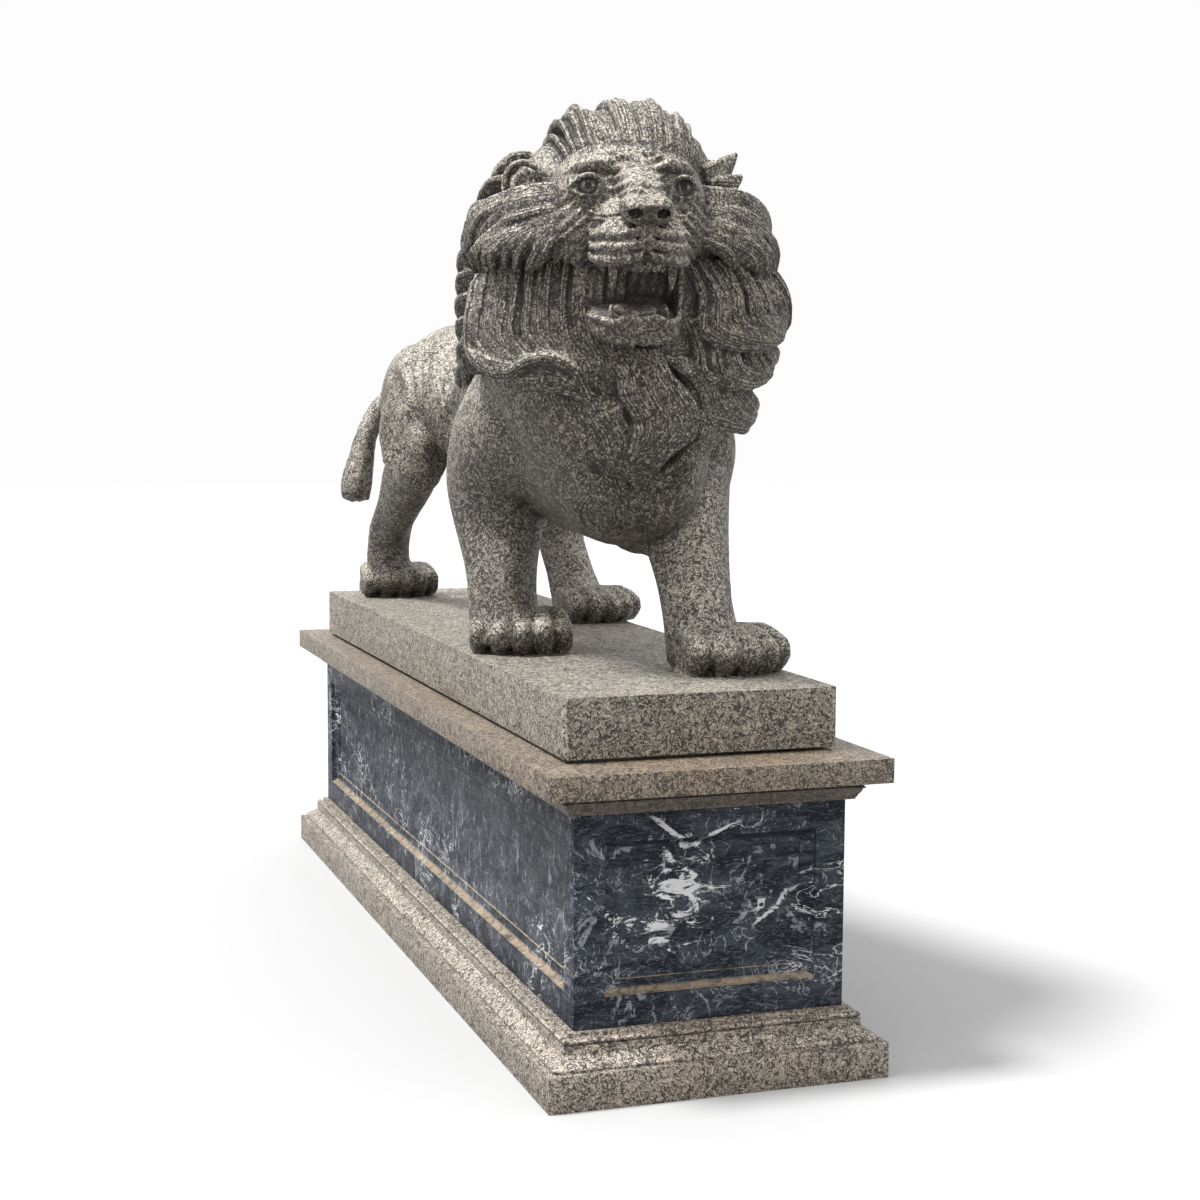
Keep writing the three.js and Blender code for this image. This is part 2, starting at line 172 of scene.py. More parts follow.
def half_round(low, out, height, depth, steps):
    """A torus: a half round that stands out from a riser."""
    rows = []
    for i in range(steps + 1):
        turn = math.pi * i / steps
        rows.append((low + height * (0.5 - 0.5 * math.cos(turn)), out + depth * math.sin(turn)))
    return rows


ledge_edge = plinth_projection - ledge_width
slope_foot = plinth_height + ledge_riser
riser_face = ledge_edge - slope_depth
fillet_foot = base_top - fillet_height
torus_foot = fillet_foot - torus_height
groove_edge = ledge_edge + 2 * ledge_groove
base = moulded_course("base_moulded", [
    (0, plinth_projection),
    (plinth_height, plinth_projection),
    (plinth_height, groove_edge),
    (plinth_height - ledge_groove, groove_edge - ledge_groove / 2),
    (plinth_height - ledge_groove, ledge_edge + ledge_groove / 2),
    (plinth_height, ledge_edge),
    (slope_foot, ledge_edge),
    *s_curve((slope_foot, ledge_edge - 0.002), (slope_foot + slope_height, riser_face), 9),
    (torus_foot, riser_face),
    *half_round(torus_foot, riser_face - torus_depth, torus_height, torus_depth, 7),
    (fillet_foot, fillet_width),
    (base_top, fillet_width),
])
ease_arrises(base, stone_arris)


class Wire:
    """A value in a material. Arithmetic on it adds Math nodes."""

    def __init__(self, finish, socket):
        self.finish = finish
        self.socket = socket

    def math(self, operation, *values):
        sockets = {i: value for i, value in enumerate(values)}
        return self.finish.node("ShaderNodeMath", {"operation": operation}, sockets)

    def __add__(self, other):
        return self.math("ADD", self, other)

    __radd__ = __add__

    def __sub__(self, other):
        return self.math("SUBTRACT", self, other)

    def __rsub__(self, other):
        return self.math("SUBTRACT", other, self)

    def __mul__(self, other):
        return self.math("MULTIPLY", self, other)

    __rmul__ = __mul__

    def __abs__(self):
        return self.math("ABSOLUTE", self)


class Finish:
    """The finish of one stone: a material whose nodes are added by name."""

    def __init__(self, name):
        self.material = bpy.data.materials.new(name)
        self.material.use_nodes = True
        self.nodes = self.material.node_tree.nodes
        self.links = self.material.node_tree.links
        self.shader = self.nodes["Principled BSDF"]

    def node(self, kind, settings=None, sockets=None, out=0):
        node = self.nodes.new(kind)
        for key, value in (settings or {}).items():
            setattr(node, key, value)
        for key, value in (sockets or {}).items():
            self.feed(node.inputs[key], value)
        return Wire(self, node.outputs[out])

    def feed(self, socket, value):
        if isinstance(value, Wire):
            self.links.new(value.socket, socket)
        elif isinstance(value, tuple) and len(value) == 3 and socket.type == "RGBA":
            socket.default_value = (*value, 1)
        else:
            socket.default_value = value

    def set(self, **sockets):
        for key, value in sockets.items():
            self.feed(self.shader.inputs[key.replace("_", " ")], value)

    def place(self, scale=(1, 1, 1), turn=(0, 0, 0), shift=(0, 0, 0)):
        """Where a point is on the piece, stretched and turned for a pattern that runs one way."""
        here = self.node("ShaderNodeTexCoord", out="Object")
        return self.node("ShaderNodeMapping", None, {
            "Vector": here,
            "Location": shift,
            "Rotation": turn,
            "Scale": scale,
        })

    def parts(self, vector, axis):
        """One of the three numbers of a vector."""
        return self.node("ShaderNodeSeparateXYZ", None, {0: vector}, out="XYZ".index(axis))

    def distance(self, where, point):
        sockets = {0: where, 1: point}
        return self.node("ShaderNodeVectorMath", {"operation": "DISTANCE"}, sockets, out="Value")

    def noise(self, where, scale, detail=2.0, roughness=0.5, distortion=0.0):
        return self.node("ShaderNodeTexNoise", None, {
            "Vector": where,
            "Scale": scale,
            "Detail": detail,
            "Roughness": roughness,
            "Distortion": distortion,
        })

    def step(self, value, low, high):
        """0 below low and 1 over high, with a soft edge between."""
        return self.node("ShaderNodeMapRange", {"interpolation_type": "SMOOTHSTEP"}, {
            "Value": value,
            "From Min": low,
            "From Max": high,
        })

    def mix(self, factor, first, second):
        return self.node("ShaderNodeMix", {"data_type": "RGBA"}, {0: factor, 6: first, 7: second}, out=2)


def granite(name, ground, warm, mica, black, gloss=0.55, shaded_below=None, carved_above=None, eyes=()):
    """Honed granite: a pale ground crowded with dark wormy grains of a few millimetres, and paler crystals.

    Upward faces are painted paler, as painted light from above. Below a given height it is painted dark, as
    painted shade under an overhang. On carved work, faces that look down, the cuts between strands and the
    eyes get painted shade, hollows get dark dust and painted shade, and crests a painted highlight."""
    stone = Finish(name)
    here = stone.place()
    height = stone.parts(here, "Z")
    upward = stone.parts(stone.node("ShaderNodeNewGeometry", out="Normal"), "Z")
    pale = tuple(min(1, 1.5 * c) for c in ground)
    grains = stone.step(stone.noise(here, 84, 2, 0.5, 1.3), 0.575, 0.600)
    # On carved work, faces that look down get painted shade: darker, with their dark grains grown bigger.
    painted_underside_shade = 0
    if carved_above:
        painted_underside_shade = stone.step(upward, 0.75, -0.55) * stone.step(height, carved_above, carved_above + 0.012)
    worms = stone.step(abs(stone.noise(here, 52, 1.5, 0.5, 1.8) - 0.5) - painted_underside_shade * 0.030, 0.052, 0.038)
    short = stone.step(abs(stone.noise(here, 84, 1.5, 0.5, 1.2) - 0.46) - painted_underside_shade * 0.018, 0.040, 0.028)
    crystals = stone.step(stone.noise(here, 150, 2, 0.6, 0.5), 0.54, 0.60)
    fine = stone.step(stone.noise(here, 260, 2, 0.6), 0.55, 0.62)
    broad = stone.step(stone.noise(here, 2.6, 3, 0.6), 0.35, 0.7)
    # Faces that look up are painted paler, and flat tops a little more: painted light from above.
    painted_top_light = stone.step(upward, 0.22, 0.5) * stone.step(upward, 0.985, 0.90)
    tint = stone.mix(broad, ground, warm)
    tint = stone.mix(crystals * 0.5, tint, pale)
    tint = stone.mix(painted_top_light * 0.6 + stone.step(upward, 0.985, 0.995) * 0.25, tint, pale)
    if carved_above:
        hollow = stone.node("ShaderNodeAttribute", {"attribute_name": "hollow"}, out="Fac")
        # Crests, where the skin is least hollow, are painted paler: a painted highlight.
        tint = stone.mix(stone.step(hollow, 0.38, 0.08) * 0.5, tint, pale)
    tint = stone.mix(grains * 0.80, tint, mica)
    tint = stone.mix(worms * 0.95, tint, black)
    tint = stone.mix(short * 0.86, tint, black)
    tint = stone.mix(fine * 0.30, tint, black)
    pits = grains * 0.5 + worms * 0.8 + fine * 0.4
    # Below the given height, under an overhang, the stone is painted dark: painted shade.
    if shaded_below:
        tint = stone.mix(stone.step(height, shaded_below + 0.001, shaded_below - 0.004) * 0.62, tint, black)
    if carved_above:
        # Painted shade on faces that look down, and all carved stone a little darker.
        tint = stone.mix(painted_underside_shade * 0.34 + 0.06, tint, black)
        # Hollows are darkened towards black: dark dust and painted shade. The mouth, the nose, the hair
        # under the ruffs and the bed recess come in the same value.
        tint = stone.mix(stone.step(hollow, 0.47, 0.80) * 0.88, tint, tuple(0.3 * c for c in black))
        strand = stone.node("ShaderNodeAttribute", {"attribute_name": "strand"}, out="Fac")
        combed = stone.node("ShaderNodeAttribute", {"attribute_name": "combed"}, out="Fac")
        wave = strand.math("SINE", strand * (2 * math.pi) + stone.noise(here, 26, 2) * 5)
        # Dark lines along the strands: painted shade of the cuts between them, which the bump also cuts in.
        cuts = stone.step(wave, 0.15, 0.75) * combed
        tint = stone.mix(cuts * 0.78, tint, tuple(0.6 * c for c in black))
        pits = pits + cuts * 2.4
        # Each eye gets a dark ring and pupil on its smooth ball: painted shade standing in for a carved
        # ring and drilled pupil.
        for eye in eyes:
            away = stone.distance(here, eye)
            eye_ring_shade = stone.step(abs(away - 0.0185), 0.0052, 0.0030) + stone.step(away, 0.0092, 0.0064)
            tint = stone.mix(eye_ring_shade * 0.92, tint, tuple(0.3 * c for c in black))
    stone.set(
        Base_Color=tint,
        Roughness=pits * 0.12 + gloss,
        Normal=stone.node("ShaderNodeBump", {"invert": True}, {
            "Height": pits,
            "Strength": 0.4,
            "Distance": 0.0012,
        }),
    )
    return stone.material


base.data.materials.append(granite(
    "base_granite",
    ground=(0.32, 0.281, 0.233),
    warm=(0.32, 0.26, 0.199),
    mica=(0.052, 0.043, 0.035),
    black=(0.022, 0.018, 0.015),
))
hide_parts("base")
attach(base, "root")


# Die
# The body of the pedestal, dark blue-grey marble with white veins, whose polish has gone dull. Each side
# has a sunk panel with a cove and a small step on each side of it, cut into the block.
panel_margin_side = 0.066
panel_margin_top = 0.062
panel_margin_bottom = 0.066
panel_cove_width = 0.026
panel_cove_depth = 0.014
panel_step_width = 0.002
panel_step_depth = 0.004
cove_steps = 5
die_arris = 0.0012

bpy.ops.mesh.primitive_cube_add(size=1, location=(die_low + die_high) / 2)
die = bpy.context.object
die.name = "die_panelled"
die.scale = die_high - die_low
settle(die)
for side in [Vector((0, -1, 0)), Vector((0, 1, 0)), Vector((1, 0, 0)), Vector((-1, 0, 0))]:
    bpy.ops.object.mode_set(mode="EDIT")
    reach = abs(side.dot(die_high)) - 0.001
    select_faces(die.data, lambda centre, normal: normal.dot(side) > 0.9 and centre.dot(side) > reach)
    bpy.ops.mesh.inset(thickness=panel_margin_side)
    bpy.ops.object.mode_set(mode="OBJECT")
    middle = (die_low.z + die_high.z) / 2
    field = next(polygon for polygon in die.data.polygons if polygon.select)
    for index in field.vertices:
        corner = die.data.vertices[index].co
        if corner.z > middle:
            corner.z = die_high.z - panel_margin_top
        else:
            corner.z = die_low.z + panel_margin_bottom
    bpy.ops.object.mode_set(mode="EDIT")
    bpy.ops.mesh.inset(thickness=panel_step_width / 4, depth=-panel_step_depth)
    for i in range(cove_steps):
        before = math.radians(90) * i / cove_steps
        after = math.radians(90) * (i + 1) / cove_steps
        bpy.ops.mesh.inset(
            thickness=panel_cove_width * (math.cos(before) - math.cos(after)),
            depth=-panel_cove_depth * (math.sin(after) - math.sin(before)),
        )
    bpy.ops.mesh.inset(thickness=panel_step_width)
    bpy.ops.mesh.inset(thickness=panel_step_width / 4, depth=-panel_step_depth)
    bpy.ops.object.mode_set(mode="OBJECT")
ease_arrises(die, die_arris)

marble = Finish("veined_marble")
swept = marble.place(scale=(1.0, 1.3, 2.3), turn=(0.16, 0.10, 0.0))
cloud = marble.noise(swept, 6.5, 6, 0.66, 1.2)
tone = marble.mix(marble.step(cloud, 0.40, 0.62), (0.009, 0.012, 0.017), (0.034, 0.039, 0.050))
bands = marble.place(scale=(1.0, 0.8, 3.6), turn=(0.0, 0.12, 0.0))
streaks = marble.step(marble.noise(bands, 44, 4, 0.66, 1.6), 0.50, 0.62)
slant = marble.place(scale=(1.0, 2.6, 0.8), turn=(0.35, 0.0, 0.0))
flecks = marble.step(marble.noise(slant, 19, 5, 0.72, 1.0), 0.590, 0.630)
network = abs(marble.noise(swept, 4.2, 5, 0.60, 1.9) - 0.5)
threads = abs(marble.noise(marble.place(turn=(0.2, 0.9, 0.4)), 11, 4, 0.62, 1.3) - 0.5)
where_veined = marble.step(marble.noise(swept, 3.1, 3, 0.6), 0.50, 0.60)
bold = marble.step(network, 0.012, 0.004) * where_veined
thin = marble.step(threads, 0.009, 0.003) * marble.step(cloud, 0.44, 0.56)
ragged = marble.noise(swept, 15, 6, 0.76, 1.3)
blots = marble.step(marble.noise(swept, 8.0, 7, 0.76, 0.9), 0.655, 0.680)
# Three white blots and three bold veins have a known place on the front panel.
front_panel = -1.28
for x, z, reach in [(-0.060, 0.425, 0.070), (-0.100, 0.335, 0.065), (-0.180, 0.365, 0.045)]:
    away = marble.distance(marble.place(), (x, front_panel, z))
    blots = blots + marble.step(ragged - away * (0.115 / reach), 0.455, 0.480)
bold_veins = [(-0.14, 0.572, -0.05, 0.498), (-0.05, 0.498, 0.06, 0.560), (0.10, 0.325, 0.19, 0.40)]
for x0, z0, x1, z1 in bold_veins:
    run = math.hypot(x1 - x0, z1 - z0)
    lean = math.atan2(z1 - z0, x1 - x0)
    x = (x0 + x1) / 2
    z = (z0 + z1) / 2
    centred = marble.place(turn=(0, lean, 0), shift=(
        -x * math.cos(lean) - z * math.sin(lean),
        -front_panel,
        x * math.sin(lean) - z * math.cos(lean),
    ))
    along, deep, beside = (marble.parts(centred, axis) for axis in "XYZ")
    bowed = abs(beside + (cloud - 0.5) * 0.07 + (ragged - 0.5) * 0.016)
    taper = marble.step(ragged, 0.34, 0.52) * marble.step(abs(along), run * 0.62, run * 0.30)
    on_front = marble.step(abs(deep), 0.08, 0.04)
    bold = bold + marble.step(bowed - taper * 0.0035, 0.0022, 0.0002) * taper * on_front
tone = marble.mix(streaks * 0.55, tone, (0.088, 0.095, 0.108))
tone = marble.mix(flecks * 0.62, tone, (0.24, 0.25, 0.27))
tone = marble.mix(thin * 0.55, tone, (0.36, 0.37, 0.39))
tone = marble.mix(bold * 0.85, tone, (0.50, 0.50, 0.50))
tone = marble.mix(blots * 0.9, tone, (0.54, 0.54, 0.54))
slope = marble.parts(marble.node("ShaderNodeNewGeometry", out="Normal"), "Z")
# Faces that look up, such as the panels' lower coves, are painted warm tan in patches: painted light.
top_light_patches = marble.step(marble.noise(marble.place(), 38, 4, 0.7, 1.0), 0.30, 0.62)
tone = marble.mix(marble.step(slope, 0.2, 0.55) * (top_light_patches * 0.6 + 0.15), tone, (0.30, 0.235, 0.16))
# Faces that look down are painted near black: painted shade.
tone = marble.mix(marble.step(slope, -0.1, -0.4) * 0.8, tone, (0.008, 0.010, 0.014))
marble.set(Base_Color=tone, Roughness=thin * 0.08 + 0.50, Specular_IOR_Level=0.07)
die.data.materials.append(marble.material)
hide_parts("die")
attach(die, "root")


# Cap
# The coping of the pedestal, one slab of honed granite a little warmer than the base, with a bed moulding
# worked under its overhang: a band that leans out as it rises, and two fine fillets under the soffit.
cap_low, cap_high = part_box("cap")
bed_height = 0.041
bed_foot = 0.016
bed_top = 0.038
bed_fillet = 0.004
bed_riser = 0.003
bed_slope_in = 0.010
bed_fillet_in = 0.006
bed_groove_in = 0.009
cap_projection = 0.075
cap_arris = 0.0026
soffit = cap_low.z + bed_height
first_fillet = soffit - 4 * bed_fillet
cap = moulded_course("cap_moulded", [
    (cap_low.z, bed_foot),
    (cap_low.z + bed_riser, bed_foot),
    *s_curve((cap_low.z + bed_riser, bed_foot + 0.002), (first_fillet, bed_top - bed_slope_in), 6),
    (first_fillet, bed_top - bed_fillet_in),
    (first_fillet + bed_fillet, bed_top - bed_fillet_in),
    (first_fillet + bed_fillet, bed_top - bed_groove_in),
    (first_fillet + 2 * bed_fillet, bed_top - bed_groove_in),
    (first_fillet + 2 * bed_fillet, bed_top),
    (soffit, bed_top),
    (soffit, cap_projection),
    (cap_high.z, cap_projection),
])
ease_arrises(cap, cap_arris)
cap.data.materials.append(granite(
    "cap_granite",
    ground=(0.225, 0.184, 0.140),
    warm=(0.23, 0.170, 0.106),
    mica=(0.056, 0.043, 0.032),
    black=(0.022, 0.017, 0.013),
    gloss=0.46,
    # The bed moulding under the soffit gets painted shade.
    shaded_below=soffit,
))
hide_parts("cap")
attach(cap, "root")


# Lion
# Lion and slab are one block of grey-beige granite, carved in the round and honed. Places on the animal are
# millimetres over the slab, x to the lion's left, and `in_place` turns them into metres on the pedestal.
lion_low, lion_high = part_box("lion")
slab_width = 0.610
slab_length = 2.440
slab_height = 0.127
slab_corner = 0.014
slab_arris = 0.004
bed_recess = 0.009
bed_depth = 0.008
slab_top = lion_low.z + bed_depth + slab_height
body_grain = 7
paw_grain = 4
mane_grain = 4.2
head_grain = 2.8
nostril_grain = 2.5
up = np.array([0.0, 0.0, 1.0])
forward = np.array([0.0, -1.0, 0.0])


def in_place(points):
    return np.asarray(points, float) * 0.001 + np.array([0, 0, slab_top])


def flowing(rows, spacing=12):
    """Rows with more between them, on a smooth curve through them all."""
    rows = np.asarray(rows, float)
    out = []
    for i in range(len(rows) - 1):
        a, b, c, d = rows[max(i - 1, 0)], rows[i], rows[i + 1], rows[min(i + 2, len(rows) - 1)]
        steps = max(2, round(np.linalg.norm((c - b)[:3]) / spacing))
        for t in np.arange(steps) / steps:
            bend = (2 * a - 5 * b + 4 * c - d) * t ** 2 + (3 * b - a - 3 * c + d) * t ** 3
            out.append(0.5 * (2 * b + (c - a) * t + bend))
    out.append(rows[-1])
    return np.array(out)


class Clay:
    """Closed rounded forms that overlap, gathered to be fused into one mesh."""

    def __init__(self):
        self.points = []
        self.faces = []
        self.guides = []
        self.count = 0

    def add(self, rings, first, last):
        """A closed form from rings of equal length, with a point at each end."""
        n, sides = rings.shape[:2]
        base_index = self.count
        self.points += [rings.reshape(-1, 3), np.array([first, last])]
        ring = np.arange(sides)
        beside = (ring + 1) % sides
        for i in range(n - 1):
            a = base_index + i * sides
            b = a + sides
            self.faces += np.stack([a + ring, a + beside, b + beside, b + ring], 1).tolist()
        start, end = base_index + n * sides, base_index + n * sides + 1
        far = base_index + (n - 1) * sides
        self.faces += [[start, base_index + int(k), base_index + int(j)] for j, k in zip(ring, beside)]
        self.faces += [[end, far + int(j), far + int(k)] for j, k in zip(ring, beside)]
        self.count += n * sides + 2

    def roll(self, rows, sides=32, facing=up, square=2.0, dome=0.35, ridges=0, groove=0.0, spacing=12,
             at=None):
        """A rounded roll through rows of x, y, z, half width and half depth, grooved along its outside."""
        rows = flowing(rows, spacing)
        centres = rows[:, :3]
        along = np.gradient(centres, axis=0)
        along /= np.linalg.norm(along, axis=1, keepdims=True) + 1e-9
        outward = facing(centres) if callable(facing) else np.broadcast_to(facing, centres.shape)
        depth = outward - (outward * along).sum(1, keepdims=True) * along
        depth = depth / (np.linalg.norm(depth, axis=1, keepdims=True) + 1e-9)
        width = np.cross(along, depth)
        turn = (np.arange(sides) + 0.5) / sides * 2 * math.pi
        c, s = np.cos(turn), np.sin(turn)
        across = -np.sign(c) * np.abs(c) ** (2 / square)
        out = np.sign(s) * np.abs(s) ** (2 / square)
        if ridges:
            cut = groove * (0.5 + 0.5 * np.cos(math.pi * ridges * across))
            out = np.where(out > 0, out * (1 - cut), out)
        rings = (
            centres[:, None]
            + width[:, None] * (across[None, :, None] * rows[:, 3][:, None, None])
            + depth[:, None] * (out[None, :, None] * rows[:, 4][:, None, None])
        )
        first = centres[0] - along[0] * dome * min(rows[0, 3:])
        last = centres[-1] + along[-1] * dome * min(rows[-1, 3:])
        if at is not None:
            rings, first, last = at(rings), at(first), at(last)
        elif ridges:
            self.guides.append((centres, width))
        self.add(rings, first, last)

    def lump(self, x, y, z, rx, ry, rz, at=None, sides=28):
        """A rounded lump about a point."""
        lift = (np.arange(1, sides // 2) / (sides // 2) - 0.5) * math.pi
        turn = np.arange(sides) / sides * 2 * math.pi
        ring = np.stack([np.cos(turn), np.sin(turn), np.zeros(sides)], 1)
        rings = np.cos(lift)[:, None, None] * ring[None] + np.sin(lift)[:, None, None] * up
        size, middle = np.array([rx, ry, rz]), np.array([x, y, z])
        rings, first, last = rings * size + middle, middle - up * rz, middle + up * rz
        if at is not None:
            rings, first, last = at(rings), at(first), at(last)
        self.add(rings, first, last)

    def fuse(self, name, grain, soften=0):
        """One skin round all the forms, as fine as the grain, with the joints between them eased."""
        mesh = bpy.data.meshes.new(name)
        mesh.from_pydata(in_place(np.concatenate(self.points)).tolist(), [], self.faces)
        piece = bpy.data.objects.new(name, mesh)
        bpy.context.collection.objects.link(piece)
        bpy.ops.object.select_all(action="DESELECT")
        piece.select_set(True)
        bpy.context.view_layer.objects.active = piece
        remesh = piece.modifiers.new("skin", "REMESH")
        remesh.mode = "VOXEL"
        remesh.voxel_size = grain * 0.001
        if soften:
            eased = piece.modifiers.new("eased", "SMOOTH")
            eased.factor = 0.5
            eased.iterations = soften
        apply_modifiers(piece)
        return piece


def read_points(piece):
    """The points of a piece and their normals, in millimetres over the slab."""
    mesh = piece.data
    points = np.empty(len(mesh.vertices) * 3)
    normals = np.empty(len(mesh.vertices) * 3)
    mesh.vertices.foreach_get("co", points)
    mesh.vertices.foreach_get("normal", normals)
    return (points.reshape(-1, 3) - [0, 0, slab_top]) * 1000, normals.reshape(-1, 3)


def write_points(piece, points):
    piece.data.vertices.foreach_set("co", in_place(points).ravel())
    piece.data.update()


def window(value, low, high, edge):
    """1 between low and high, falling smoothly to 0 within the edge outside them."""
    rise = np.clip((value - low + edge) / edge, 0, 1)
    fall = np.clip((high + edge - value) / edge, 0, 1)
    return rise * rise * (3 - 2 * rise) * fall * fall * (3 - 2 * fall)


# Trunk, legs and tail: long muscles that run into one another, so their joints are eased after fusing.
trunk = Clay()
trunk.roll([
    [-15, -900, 470, 120, 125],
    [-8, -780, 480, 190, 215],
    [0, -560, 560, 236, 286],
    [0, -300, 600, 236, 272],
    [0, -60, 590, 222, 258],
    [0, 200, 590, 196, 230],
    [0, 450, 610, 168, 200],
    [0, 680, 632, 180, 196],
    [0, 880, 620, 160, 184],
    [0, 1030, 590, 116, 136],
], sides=48, spacing=25)
legs = [
    [
        [-165, -470, 640, 106, 186],
        [-205, -420, 520, 116, 162],
        [-215, -370, 410, 110, 126],
        [-203, -385, 290, 102, 94],
        [-208, -425, 190, 84, 78],
        [-208, -440, 110, 82, 76],
        [-200, -450, 30, 90, 86],
    ],
    [
        [160, -520, 620, 106, 186],
        [195, -580, 500, 116, 162],
        [175, -640, 400, 106, 126],
        [145, -740, 290, 98, 92],
        [130, -830, 180, 83, 74],
        [125, -880, 100, 82, 72],
        [135, -890, 30, 90, 82],
    ],
    [
        [-105, 810, 640, 92, 166],
        [-138, 745, 520, 98, 176],
        [-150, 730, 420, 82, 132],
        [-158, 835, 310, 66, 84],
        [-165, 950, 215, 62, 62],
        [-165, 985, 120, 63, 58],
        [-150, 985, 40, 76, 72],
    ],
    [
        [105, 770, 640, 92, 166],
        [145, 620, 520, 106, 186],
        [175, 470, 420, 94, 146],
        [192, 420, 310, 73, 97],
        [200, 385, 210, 65, 68],
        [208, 320, 120, 65, 60],
        [215, 260, 40, 76, 72],
    ],
]
for leg in legs:
    trunk.roll(leg, facing=forward)
for muscle in [
    (55, -700, 395, 125, 130, 148),
    (-185, -470, 560, 105, 170, 190),
    (190, -520, 550, 105, 170, 190),
    (-118, 800, 582, 104, 186, 188),
    (120, 760, 600, 108, 188, 196),
    (-205, -330, 430, 100, 78, 105),
    (180, -590, 420, 100, 78, 105),
    (-150, 640, 450, 82, 84, 120),
    (165, 450, 420, 82, 84, 110),
]:
    trunk.lump(*muscle)
trunk.roll([
    [0, 1000, 660, 68, 58],
    [-80, 1068, 645, 40, 42],
    [-160, 1085, 585, 33, 36],
    [-212, 1062, 500, 34, 42],
    [-234, 1050, 420, 42, 56],
    [-250, 1042, 345, 49, 66],
    [-256, 1038, 300, 47, 62],
], facing=forward, ridges=5, groove=0.22, dome=0.3)
body = trunk.fuse("lion_body", body_grain, soften=9)

# Ribs, flank folds, the spine's furrow, strands on the breast, the tail's tuft and the tendons of the lower
# legs, cut into the eased body.
rib_pitch = 74
rib_depth = 6
fold_pitch = 96
fold_depth = 27
furrow_depth = 9
furrow_reach = 26
breast_pitch = 27
breast_depth = 5
tuft_depth = 7
tendon_depth = 3.5
tendon_reach = 115
points, normals = read_points(body)
x, y, z = points.T
side = np.clip(np.abs(normals[:, 0]) * 1.3, 0, 1)
ribs = window(y, -260, 220, 110) * window(z, 440, 720, 70) * side
sway = 22 * np.sin(z / 61 + x / 90) + 15 * np.sin(y / 83)
relief = rib_depth * ribs * np.sin((y + 0.45 * (z - 600) + sway) / rib_pitch * 2 * math.pi)
folds = window(y, 40, 680, 120) * window(z, 430, 740, 70) * side
fold = (y - 0.5 * (z - 560) + 1.7 * sway) / fold_pitch
relief += fold_depth * folds * (0.45 - 1.15 * np.abs(np.sin(math.pi * fold)) ** 0.7)
furrow = furrow_depth * window(y, -150, 900, 120) * np.exp(-(x / furrow_reach) ** 2)
relief -= furrow * np.clip(normals[:, 2], 0, 1)
breast = window(x, -150, 90, 40) * window(z, 330, 560, 60) * (y < -600)
breast *= np.clip(-1.4 * normals[:, 1], 0, 1)
relief += breast_depth * breast * np.sin((x + 0.35 * z + 16 * np.sin(z / 38)) / breast_pitch * 2 * math.pi)
tuft = window(z, 290, 480, 60) * window(y, 970, 1130, 10) * window(x, -300, -185, 10)
relief -= tuft_depth * tuft * np.abs(np.sin(4 * np.arctan2(x + 232, y - 1050) + z / 70))
for leg in legs:
    rows = np.array(leg)
    centre_x = np.interp(z, rows[::-1, 2], rows[::-1, 0])
    centre_y = np.interp(z, rows[::-1, 2], rows[::-1, 1])
    near = np.exp(-(((x - centre_x) ** 2 + (y - centre_y) ** 2) / tendon_reach ** 2) ** 3)
    turn = np.arctan2(x - centre_x, centre_y - y)
    relief += tendon_depth * near * window(z, 90, 430, 70) * np.cos(4 * turn)
write_points(body, points + normals * relief[:, None])


def turned(angle):
    """The turn about the upright that takes rows of points round by an angle in degrees."""
    c, s = math.cos(math.radians(angle)), math.sin(math.radians(angle))
    return np.array([[c, s, 0], [-s, c, 0], [0, 0, 1]])


# Paws: five bent toes on a broad pad, each toe with a knuckle, turned about the heel.
def carve_paw(clay, x, y, turn, size):
    spin = size * turned(turn)

    def at(points):
        return np.asarray(points) @ spin + np.array([x, y, 0])

    pad = [[0, 96, 12, 78, 54], [0, 30, 16, 100, 76], [0, -22, 12, 94, 56]]
    clay.roll(pad, at=at, dome=0.7, square=3.0)
    for across in (-88, -47, -4, 39, 80):
        back = 0.0052 * across * across
        clay.roll([
            [across * 0.62, back + 58, 70, 15, 20],
            [across * 0.84, back + 4, 68, 20, 24],
            [across * 0.96, back - 38, 66, 22, 28],
            [across * 1.04, back - 76, 36, 22, 42],
            [across * 1.06, back - 94, 22, 19, 30],
        ], at=at, dome=0.4, sides=24, spacing=8, square=2.6)
        clay.lump(across * 0.97, back - 42, 78, 18, 20, 15, at=at, sides=16)
        clay.lump(across * 1.05, back - 92, 30, 11, 12, 14, at=at, sides=12)


paws = Clay()
carve_paw(paws, -162, -438, -12, 1.13)
carve_paw(paws, 172, -930, 10, 1.13)
carve_paw(paws, -126, 1040, 6, 1.09)
carve_paw(paws, 235, 172, 16, 1.0)
paw_piece = paws.fuse("lion_paws", paw_grain, soften=2)

# Mane: a bell of wavy strands round the neck, with locks one over another. A place on it is a compass angle
# from the front, positive to the lion's left, a height, and a lift off the bell.
mane_rows = np.array([
    [380, -15, -760, 100, 100],
    [480, -22, -735, 205, 205],
    [600, -28, -701, 263, 255],
    [697, -20, -691, 304, 283],
    [814, -7, -691, 322, 292],
    [921, -17, -701, 310, 275],
    [1019, -30, -721, 278, 244],
    [1107, -38, -755, 222, 200],
    [1180, -28, -779, 156, 141],
    [1222, -24, -789, 88, 78],
], float)


def on_mane(angle, height, lift):
    x, y, a, b = (np.interp(height, mane_rows[:, 0], mane_rows[:, k]) for k in range(1, 5))
    turn = np.radians(angle)
    return np.stack([x + (a + lift) * np.sin(turn), y - (b + lift) * np.cos(turn), height + 0 * turn], -1)


def from_mane_axis(points):
    return (points - np.array([-20, -700, 900])) * np.array([1, 1, 0.5])


mane = Clay()


